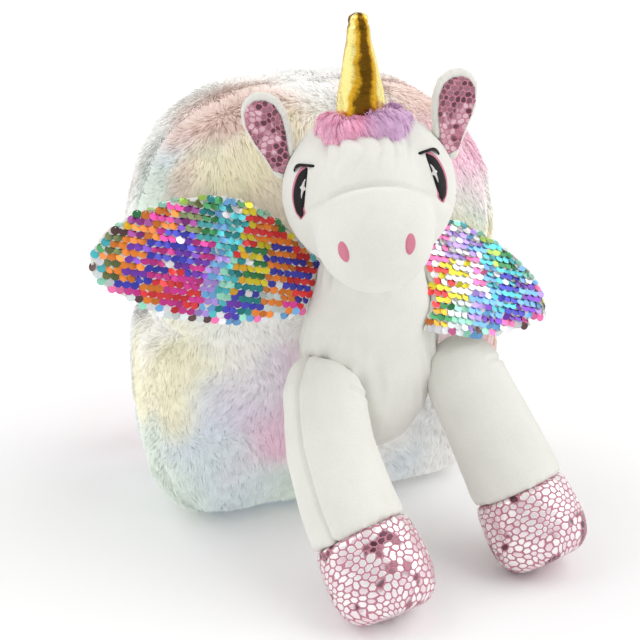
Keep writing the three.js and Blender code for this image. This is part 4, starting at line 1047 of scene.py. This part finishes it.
# Unicorn: stuffed plush
plushStuffing = {"pressure": 4, "stiffness": 12, "bending": 0.3, "frames": 20, "cap": 3}


legRoutes = {
    "left": [(-20, -94, 142), (-29, -120, 106), (-26, -154, 66), (-16, -186, 31), (-12, -206, 11)],
    "right": [(66, -94, 140), (80, -118, 104), (93, -143, 66), (103, -167, 32), (109, -186, 11)],
}
sewn = {"seamTurn": {"left": 2.5, "right": 0.6}, "seamDepth": 1.7, "seamWidth": 1.3, "knobSeam": 26, "wrinkle": 2.6, "wrinkleReach": 24}


def roundMap(co, route):  # turn about a curved axis, and the run along it
    place, tangent, length = smoothRoute(route, 120)
    finder = KDTree(len(place))
    for i, point in enumerate(place):
        finder.insert(point, i)
    finder.balance()
    near = np.array([finder.find(point)[1] for point in co])
    across = unit(np.array([1.0, 0, 0]) - tangent * tangent[:, :1])
    up = unit(np.cross(tangent, across))
    away = co - place[near]
    turn = np.arctan2((away * up[near]).sum(axis=1), (away * across[near]).sum(axis=1))
    return turn, near / 120 * length + (away * tangent[near]).sum(axis=1), np.linalg.norm(away, axis=1)


def groove(away, width):  # a sunk stitch line with the cloth puffed beside it
    return -np.exp(-((away / width) ** 2)) + 0.35 * np.exp(-(((np.abs(away) - width * 2.6) / (width * 1.6)) ** 2))


def seamed(obj, side):
    co = places(obj)
    turn, along, wide = roundMap(co, legRoutes[side])
    apart = np.angle(np.exp(1j * (turn - sewn["seamTurn"][side]))) * wide
    knob = groove(along - sewn["knobSeam"] - 3 * np.cos(turn * 2), sewn["seamWidth"])
    lines = groove(apart, sewn["seamWidth"]) + 0.8 * knob * (np.cos(turn + 0.6) > -0.2)
    creases = waves(co * np.array([1, 1, 0.35]), 13, 91) * 0.22 * (1 - smoothstep(along, 12, 60))
    return moved(obj, co + normals(obj) * (lines * sewn["seamDepth"] + creases)[:, None])


def wrinkled(obj, neighbours, seed):  # drawn cloth where other stuffed pieces are sewn on
    co = places(obj)
    near = clearance(co, neighbours, sewn["wrinkleReach"])
    share = (1 - smoothstep(near, 2, sewn["wrinkleReach"])) * smoothstep(-co[:, 1], 40, 80)
    ridges = 1 - np.abs(waves(co * np.array([1, 1, 0.45]), 17, seed)) * 1.1
    return moved(obj, co + normals(obj) * (ridges * sewn["wrinkle"] * share)[:, None])


headPose = Matrix.Translation((2.5, -110, 258)) @ Matrix.Rotation(-0.32, 4, "Z") @ Matrix.Rotation(-0.12, 4, "Y")
torso = smoothed(puffed(softCopy("torsoPlush", "torso", paints["plush"], 4.0, 8, 0.6), plushStuffing))
wrinkled(torso, treeOf(nodes["leg_left"], nodes["leg_right"], nodes["head"]), 19)
finished(torso, "torso")
head = smoothed(softCopy("headPlush", "head", paints["plush"], 2.8, 9, 0.7))
face = {"creaseAt": (0, -60, 23), "creaseFacing": (0, 0.62, 0.78), "creaseDepth": 2.2, "creaseWidth": 1.6, "creaseReach": 30, "puckers": 1.5}


def creased(obj):  # the seam over the muzzle, and soft puckers under the forelock
    co = places(obj)
    local = inFrame(co, headPose)
    away = (local - np.array(face["creaseAt"])) @ unit(np.array(face["creaseFacing"], float))
    ahead = smoothstep(-local[:, 1], 10, 30) * (1 - 0.6 * smoothstep(np.abs(local[:, 0]), face["creaseReach"] * 0.7, face["creaseReach"] * 1.3))
    ahead = ahead * smoothstep(local[:, 2], -34, -12)
    groove = -face["creaseDepth"] * np.exp(-((away / face["creaseWidth"]) ** 2)) + 0.9 * np.exp(-(((away + 4.5) / 3.5) ** 2))
    brow = smoothstep(local[:, 2], 24, 36) * smoothstep(-local[:, 1], 8, 26)
    puckers = -np.abs(np.sin(local[:, 0] * 0.31 + waves(local, 46, 5) * 0.9)) ** 6 * face["puckers"] * brow
    puckers = puckers * (1 - smoothstep(np.abs(local[:, 0]), 20, 36))
    return moved(obj, co + normals(obj) * (groove * ahead + puckers)[:, None])


creased(head)
finished(head, "head")
for side in ("left", "right"):
    title = side.capitalize()
    leg = smoothed(puffed(softCopy("leg" + title, "leg_" + side, paints["plush"], 3.0, 8, 0.5), plushStuffing))
    seamed(leg, side)
    finished(leg, "leg_" + side)
    ear = smoothed(softCopy("ear" + title, "ear_" + side, paints["plush"], 1.8, 5, 0.3))
    finished(ear, "ear_" + side)
print("unicorn made")


# Scale cloth: hooves and ear linings, on maps in millimetres
def mappedRound(obj, route, girth=31):
    turn, along, _ = roundMap(places(obj), route)
    corners = cornerVertices(obj.data)
    uv = np.stack([turn[corners], along[corners]], axis=1)
    for polygon in obj.data.polygons:  # faces over the map's seam go round it
        own = slice(polygon.loop_start, polygon.loop_start + polygon.loop_total)
        if np.ptp(uv[own, 0]) > math.pi:
            uv[own, 0] = np.where(uv[own, 0] < 0, uv[own, 0] + 2 * math.pi, uv[own, 0])
    uv[:, 0] *= girth
    mapped(obj.data, uv)
    return obj


def mappedFlat(obj, pose):
    mapped(obj.data, inFrame(places(obj), pose)[cornerVertices(obj.data)][:, [0, 2]])
    return obj


for side, mirror in (("left", -1), ("right", 1)):
    title = side.capitalize()
    hoof = smoothed(softCopy("hoof" + title, "hoof_" + side, paints["scale"], 3.0, 6, 0.5))
    finished(mappedRound(hoof, legRoutes[side]), "hoof_" + side)
    lining = smoothed(softCopy("earLining" + title, "ear_lining_" + side, paints["earScale"], 0.8, 3, 0.1), 0)
    earPose = headPose @ Matrix.Translation((mirror * 48, 2, 11)) @ Matrix.Rotation(mirror * 0.5, 4, "Z") @ Matrix.Rotation(mirror * 0.3, 4, "Y")
    finished(mappedFlat(lining, earPose), "ear_lining_" + side)
print("scale cloth made")


# Horn and forelock
horn = {"length": 64, "radius": 14.5, "seat": (0, -6, 45), "lean": 0.072,
        "sections": [(0, 1), (0.14, 1), (0.3, 0.92), (0.52, 0.72), (0.75, 0.52), (0.9, 0.45), (0.97, 0.36), (1.0, 0.12)]}


def hornCone():
    ups, wides = zip(*horn["sections"])
    around, rows = 64, 80
    points = []
    for i in range(rows + 1):
        up = i / rows
        wide = float(np.interp(up, ups, wides)) * horn["radius"]
        for k in range(around):
            turn = k / around * 2 * math.pi
            points.append((wide * math.cos(turn), wide * math.sin(turn), up * horn["length"]))
    points = np.array(points)
    turn = np.arctan2(points[:, 1], points[:, 0])
    up = points[:, 2] / horn["length"]
    pull = waves(points * np.array([1, 1, 0.45]), 11, 51) * 0.35 * (1 - up * 0.4)
    seam = -0.9 * np.exp(-((turn + 0.25) / 0.06) ** 2) + np.sin(turn * 7) * 0.4 * smoothstep(up, 0.86, 0.97) - 0.8 * np.exp(-((up - 0.9) / 0.02) ** 2)
    points[:, :2] *= (1 + ((pull + seam) / np.maximum(np.hypot(points[:, 0], points[:, 1]), 2)))[:, None]
    faces = ringFaces(rows + 1, around)
    faces += [list(range(around))[::-1], [rows * around + k for k in range(around)]]
    pose = np.array(headPose @ Matrix.Translation(horn["seat"]) @ Matrix.Rotation(horn["lean"], 4, "Y"))
    uv = np.stack([np.abs(np.degrees(turn)) / 57.3, up], axis=1)  # mirrored at the back, where the seam's turn ends
    return built("hornFoil", points @ pose[:3, :3].T + pose[:3, 3], faces, paints["gold"], uv)


finished(hornCone(), "horn")


def forelockDye(points):
    local = inFrame(points, headPose)
    side = smoothstep(local[:, 0] + waves(points, 14, 3) * 2.5, -8, 12)[:, None]
    low = smoothstep(-local[:, 0] - local[:, 2] * 0.5, -16, 4)[:, None] * 0.45
    tone = linear((0.93, 0.71, 0.81)) * (1 - side) + linear((0.88, 0.76, 0.87)) * side
    return tone * (1 - low) + linear((0.955, 0.82, 0.87)) * low


tuft = softCopy("forelockCloth", "forelock", paints["fur"], 1.8, 4)
coloured(tuft, forelockDye)
finished(tuft, "forelock")
finished(grown("forelockFur", tuft, coats["forelock"], forelockDye), None)
print("horn and forelock made")


# Face: embroidered eyes and nostrils pressed on to the head
headTree = treeOf(head)


def pressed(name, outline, pose, paint, proud, rings=(0.0, 0.3, 0.6, 0.85, 1.0), start=80.0):
    outline = np.array(outline, float)
    centre = outline.mean(axis=0)
    pose = np.array(pose)
    points, uv = [], []
    inward = -pose[:3, 2]
    for share in rings:
        for x, y in outline if share else [centre]:
            flat = centre + (np.array((x, y)) - centre) * share
            origin = pose[:3, :3] @ np.array((*flat, start)) + pose[:3, 3]
            hit, normal, _, _ = headTree.ray_cast(Vector(origin) * mm, Vector(inward))
            if hit is None:
                hit, normal, _, _ = headTree.find_nearest(Vector(origin + inward * start) * mm)
            height = proud * (1 - share ** 6) - (0.25 if share == rings[-1] else 0)
            points.append(np.array(hit) / mm + np.array(normal) * height)
            uv.append(flat)
    count = len(outline)
    faces = [[0, 1 + k, 1 + (k + 1) % count] for k in range(count)]
    for ring in range(len(rings) - 2):
        a = 1 + ring * count
        faces += [[a + k, a + count + k, a + count + (k + 1) % count, a + (k + 1) % count] for k in range(count)]
    return built(name, points, faces, paint, np.array(uv))


def curveThrough(points, count=48):  # a closed soft outline through a few points
    p = np.array(points, float)
    n = len(p)
    out = []
    for i in range(count):
        t = i / count * n
        k, u = int(t), t - int(t)
        a, b, c, d = p[(k - 1) % n], p[k % n], p[(k + 1) % n], p[(k + 2) % n]
        out.append(0.5 * ((2 * b) + (c - a) * u + (2 * a - 5 * b + 4 * c - d) * u * u + (-a + 3 * b - 3 * c + d) * u ** 3))
    return out


eyes = {
    "turn": 0.96, "rise": 0.25,
    "rim": [(-0.5, 16.8), (5, 14), (8.0, 6), (7.8, -5), (4.4, -14), (0.5, -17.3), (-3.7, -13.5), (-5.3, -4), (-4.5, 8)],
    "pupil": [(-1.5, 16), (3.2, 13), (5.6, 5), (5.6, -5), (3.2, -12.5), (0, -16.5), (-3.6, -12), (-5.2, -3), (-4.4, 9)],
    "glint": [(-3.6, 9.5), (-2.2, 5.5), (-0.6, 3.5), (-2.6, 2), (-3.2, -4), (-4.2, 1.5), (-5.4, 3), (-4.2, 5)],
    "lash": [(-6.5, 16.2), (0, 15.6), (6.0, 14.6), (8.8, 13.2), (9.4, 10.8), (10.5, 10.9), (10.5, 14.2), (7.0, 16.3), (0, 17.3), (-6.5, 17.7)],
}


def facePose(turn, rise, centre=(0, 0, 0)):
    return headPose @ Matrix.Translation(centre) @ Matrix.Rotation(turn, 4, "Z") @ Matrix.Rotation(math.pi / 2 - rise, 4, "X")


def joinedInto(first, *others):
    for other in others:
        for paint in other.data.materials:
            if paint.name not in first.data.materials:
                first.data.materials.append(paint)
    chosen = [first, *others]
    with bpy.context.temp_override(active_object=first, object=first, selected_objects=chosen, selected_editable_objects=chosen):
        bpy.ops.object.join()
    return first


for side, mirror in (("left", -1), ("right", 1)):
    title = side.capitalize()
    pose = facePose(mirror * eyes["turn"], eyes["rise"])
    flipped = lambda points: [(mirror * x, y) for x, y in (points if mirror > 0 else points[::-1])]
    layers = [("rim", "rosy", 0.8), ("pupil", "black", 1.3), ("glint", "white", 1.8), ("lash", "black", 1.5)]
    pieces = [pressed(f"eye{title}{part}", curveThrough(flipped(eyes[part])), pose, paints[paint], proud) for part, paint, proud in layers]
    eye = joinedInto(*pieces)
    eye.name = "eye" + title
    finished(eye, "eye_" + side)
    oval = [(3.75 * math.cos(t), 6.5 * math.sin(t)) for t in np.linspace(0, 2 * math.pi, 33)[:-1]]
    tilt = -mirror * 0.2
    oval = [(x * math.cos(tilt) - y * math.sin(tilt), x * math.sin(tilt) + y * math.cos(tilt)) for x, y in oval]
    nostril = pressed("nostril" + title, oval, facePose(mirror * 0.56, 0.05, (0, -44, -12)), paints["rosy"], 0.8)
    finished(nostril, "nostril_" + side)
print("face made")


# Wings: plush backs, with rows of overlapping sequins in front
wings = {
    "length": 162, "height": 84, "sequin": 2.9, "sequinSides": 10, "alongPitch": 5.0, "rowPitch": 3.9, "tilt": 0.22,
    "rows": [(0, 0, 0), (0.02, 0.1, 0.1), (0.07, 0.2, 0.18), (0.19, 0.38, 0.28), (0.31, 0.52, 0.34), (0.45, 0.61, 0.37), (0.58, 0.59, 0.38),
             (0.7, 0.52, 0.35), (0.83, 0.4, 0.27), (0.93, 0.26, 0.19), (0.985, 0.12, 0.1), (1, 0, 0)],
    "left": {"mirror": -1, "root": (-12, -86, 185), "lift": 0.25, "sweep": -0.02, "tilt": 0.3},
    "right": {"mirror": 1, "root": (-21, -90, 202), "lift": -0.25, "sweep": 0.12, "tilt": 0.62},
}
tints = {
    "red": (0.93, 0.22, 0.24), "orange": (0.96, 0.54, 0.18), "gold": (0.95, 0.72, 0.16), "yellow": (0.97, 0.90, 0.20), "lime": (0.70, 0.86, 0.36),
    "green": (0.20, 0.55, 0.32), "olive": (0.42, 0.47, 0.28), "teal": (0.13, 0.56, 0.58), "aqua": (0.33, 0.80, 0.84), "sky": (0.45, 0.70, 0.92),
    "blue": (0.26, 0.26, 0.76), "violet": (0.48, 0.24, 0.74), "purple": (0.58, 0.20, 0.54), "magenta": (0.86, 0.22, 0.60), "pink": (0.96, 0.45, 0.70),
    "silver": (0.86, 0.90, 0.90), "mint": (0.62, 0.90, 0.80), "white": (0.95, 0.95, 0.97), "lilac": (0.72, 0.60, 0.93), "bronze": (0.38, 0.26, 0.26),
}
rimTints = {
    "upper": ["mint", "lime", "silver", "teal", "yellow", "green", "aqua"],
    "lower": ["silver", "white", "silver", "bronze", "sky", "mint", "pink"],
}
wingRows = {  # along the wing: the tints of even and odd rows high up, in the middle and low down
    "left": [
        (0.0, ("lime", "green"), ("magenta", "orange"), ("gold", "red")), (0.13, ("orange", "red"), ("blue", "red"), ("orange", "magenta")),
        (0.27, ("red", "orange"), ("blue", "orange"), ("silver", "orange")), (0.35, ("red", "orange"), ("yellow", "green"), ("blue", "teal")),
        (0.415, ("red", "yellow"), ("gold", "teal"), ("violet", "blue")), (0.465, ("aqua", "teal"), ("aqua", "mint"), ("aqua", "teal")),
        (0.52, ("sky", "aqua"), ("sky", "lilac"), ("lilac", "sky")), (0.575, ("teal", "green"), ("violet", "magenta"), ("magenta", "red")),
        (0.65, ("purple", "olive"), ("blue", "violet"), ("red", "magenta")), (0.74, ("magenta", "orange"), ("blue", "magenta"), ("red", "orange")),
        (0.83, ("orange", "purple"), ("orange", "violet"), ("magenta", "blue")), (0.91, ("gold", "bronze"), ("olive", "orange"), ("purple", "gold")),
        (0.97, ("orange", "lime"), ("green", "aqua"), ("teal", "sky")), (1.0, ("lime", "mint"), ("mint", "aqua"), ("silver", "aqua")),
    ],
    "right": [
        (0.0, ("magenta", "orange"), ("orange", "red"), ("gold", "green")), (0.4, ("pink", "white"), ("red", "orange"), ("orange", "green")),
        (0.5, ("white", "pink"), ("yellow", "red"), ("gold", "green")), (0.58, ("lilac", "white"), ("white", "yellow"), ("silver", "mint")),
        (0.66, ("sky", "lilac"), ("pink", "white"), ("lilac", "sky")), (0.73, ("lime", "aqua"), ("aqua", "sky"), ("violet", "sky")),
        (0.81, ("green", "aqua"), ("blue", "aqua"), ("pink", "violet")), (0.9, ("sky", "mint"), ("sky", "violet"), ("pink", "magenta")),
        (1.0, ("lilac", "sky"), ("lilac", "pink"), ("pink", "lilac")),
    ],
}


def wingPose(facts):
    return (Matrix.Translation(facts["root"]) @ Matrix.Rotation(-facts["mirror"] * facts["sweep"], 4, "Z")
            @ Matrix.Rotation(-facts["mirror"] * facts["lift"], 4, "Y") @ Matrix.Rotation(-facts["tilt"], 4, "X"))


def sequinTint(side, along, high, row, rim, rng):
    if rim < (4.5 if high > 0 else 6.0):
        return rng.choice(rimTints["upper" if high > 0 else "lower"])
    if rng.random() < 0.03:
        return "white"
    shifted = along + 0.05 * high + 0.012 * math.sin(row * 1.9) + rng.normal() * 0.004
    table = wingRows[side]
    place = min(range(len(table)), key=lambda i: abs(table[i][0] - shifted))
    level = high + 0.07 * math.sin(along * 17) + 0.03 * math.sin(along * 41 + 2)
    even, odd = table[place][1 if level > 0.24 else 2 if level > -0.08 else 3]
    return even if row % 2 == 0 else odd


def sequinned(side, back):
    facts = wings[side]
    rng = np.random.default_rng(61 if side == "left" else 67)
    pose = np.array(wingPose(facts))
    inward = pose[:3, 1]
    tree = treeOf(back)
    blockers = treeOf(nodes["torso"], nodes["head"], nodes["leg_left"], nodes["leg_right"])
    alongs, aboves, belows = (np.array(column) for column in zip(*wings["rows"]))
    sides = wings["sequinSides"]
    ring = np.linspace(0, 2 * math.pi, sides + 1)[:-1]
    eyelet = [np.cos(ring) * 0.4, np.sin(ring) * 0.4 + wings["sequin"] * 0.66, np.full(sides, -0.22)]
    edge = [np.cos(ring) * wings["sequin"], np.sin(ring) * wings["sequin"], np.zeros(sides)]
    shape = np.concatenate([np.stack(eyelet, axis=1), np.stack(edge, axis=1)])
    points, colours, row, count = [], [], 0, 0
    height = -wings["height"] * 0.38
    while height < wings["height"] * 0.62:
        run = wings["alongPitch"] * (0.5 if row % 2 else 0.0)
        while run < wings["length"]:
            share = run / wings["length"]
            high, low = np.interp(share, alongs, aboves) * wings["height"], -np.interp(share, alongs, belows) * wings["height"]
            rim = min(high - height, height - low, (wings["length"] - run) * 0.7)
            if rim > 1.2:
                flat = np.array((facts["mirror"] * run, -60, height))
                origin = pose[:3, :3] @ flat + pose[:3, 3]
                hit, normal, _, far = tree.ray_cast(Vector(origin) * mm, Vector(inward))
                if hit is not None and far < 0.075:
                    out = np.array(normal)
                    spot = np.array(hit) / mm + out * 0.55
                    covered = blockers.find_nearest(Vector(spot) * mm)[3] / mm
                    if covered > 1.6:
                        across = unit(pose[:3, 0] - out * (pose[:3, 0] @ out))
                        up = np.cross(out, across)
                        lean = wings["tilt"] + rng.normal() * 0.08
                        roll = rng.normal() * 0.14
                        discOut = unit(out - up * math.tan(lean) * -1 + across * roll)
                        discUp = unit(up - discOut * (up @ discOut))
                        discAcross = np.cross(discUp, discOut)
                        points.append(spot + shape[:, :1] * discAcross + shape[:, 1:2] * discUp + shape[:, 2:] * discOut)
                        tint = sequinTint(side, share, height / wings["height"], row, rim, rng)
                        colours.append(np.clip(linear(tints[tint]) * rng.uniform(0.7, 1.1), 0, 1))
                        count += 1
            run += wings["alongPitch"] * (1 + rng.normal() * 0.02)
        row += 1
        height += wings["rowPitch"]
    block = np.array([[k, (k + 1) % sides, sides + (k + 1) % sides, sides + k] for k in range(sides)])
    faces = (np.arange(count)[:, None, None] * 2 * sides + block).reshape(-1, 4)
    obj = built("sequins" + side.capitalize(), np.concatenate(points), faces, paints["sequin"])
    tinted(obj.data, "tint", np.repeat(np.array(colours), 2 * sides, axis=0))
    cells = math.ceil(math.sqrt(count))
    cell = np.stack([np.arange(count) % cells, np.arange(count) // cells], axis=1)[:, None, :]
    flat = shape[:, :2] / wings["sequin"] * 0.42 + 0.5
    mapped(obj.data, ((cell + flat[None]) / cells)[:, block.ravel()], "OFBake")
    print("sequins", side, count)
    return obj


for side in ("left", "right"):
    title = side.capitalize()
    back = smoothed(softCopy("wing" + title, "wing_" + side, paints["plush"], 3.4, 4, 0.4))
    finished(back, "wing_" + side)
    finished(sequinned(side, back), None)
print("wings made")


# Floor
floorPaint = Paint("paleFloor", studio["floorColour"])
floorMaterial = floorPaint.surface(Base_Color=studio["floorColour"], Roughness=0.9)
floorCorners = [(x * studio["floorReach"], y * studio["floorReach"], 0) for x, y in ((-1, -1), (1, -1), (1, 1), (-1, 1))]
floor = built("floor", floorCorners, [[0, 1, 2, 3]], floorMaterial)
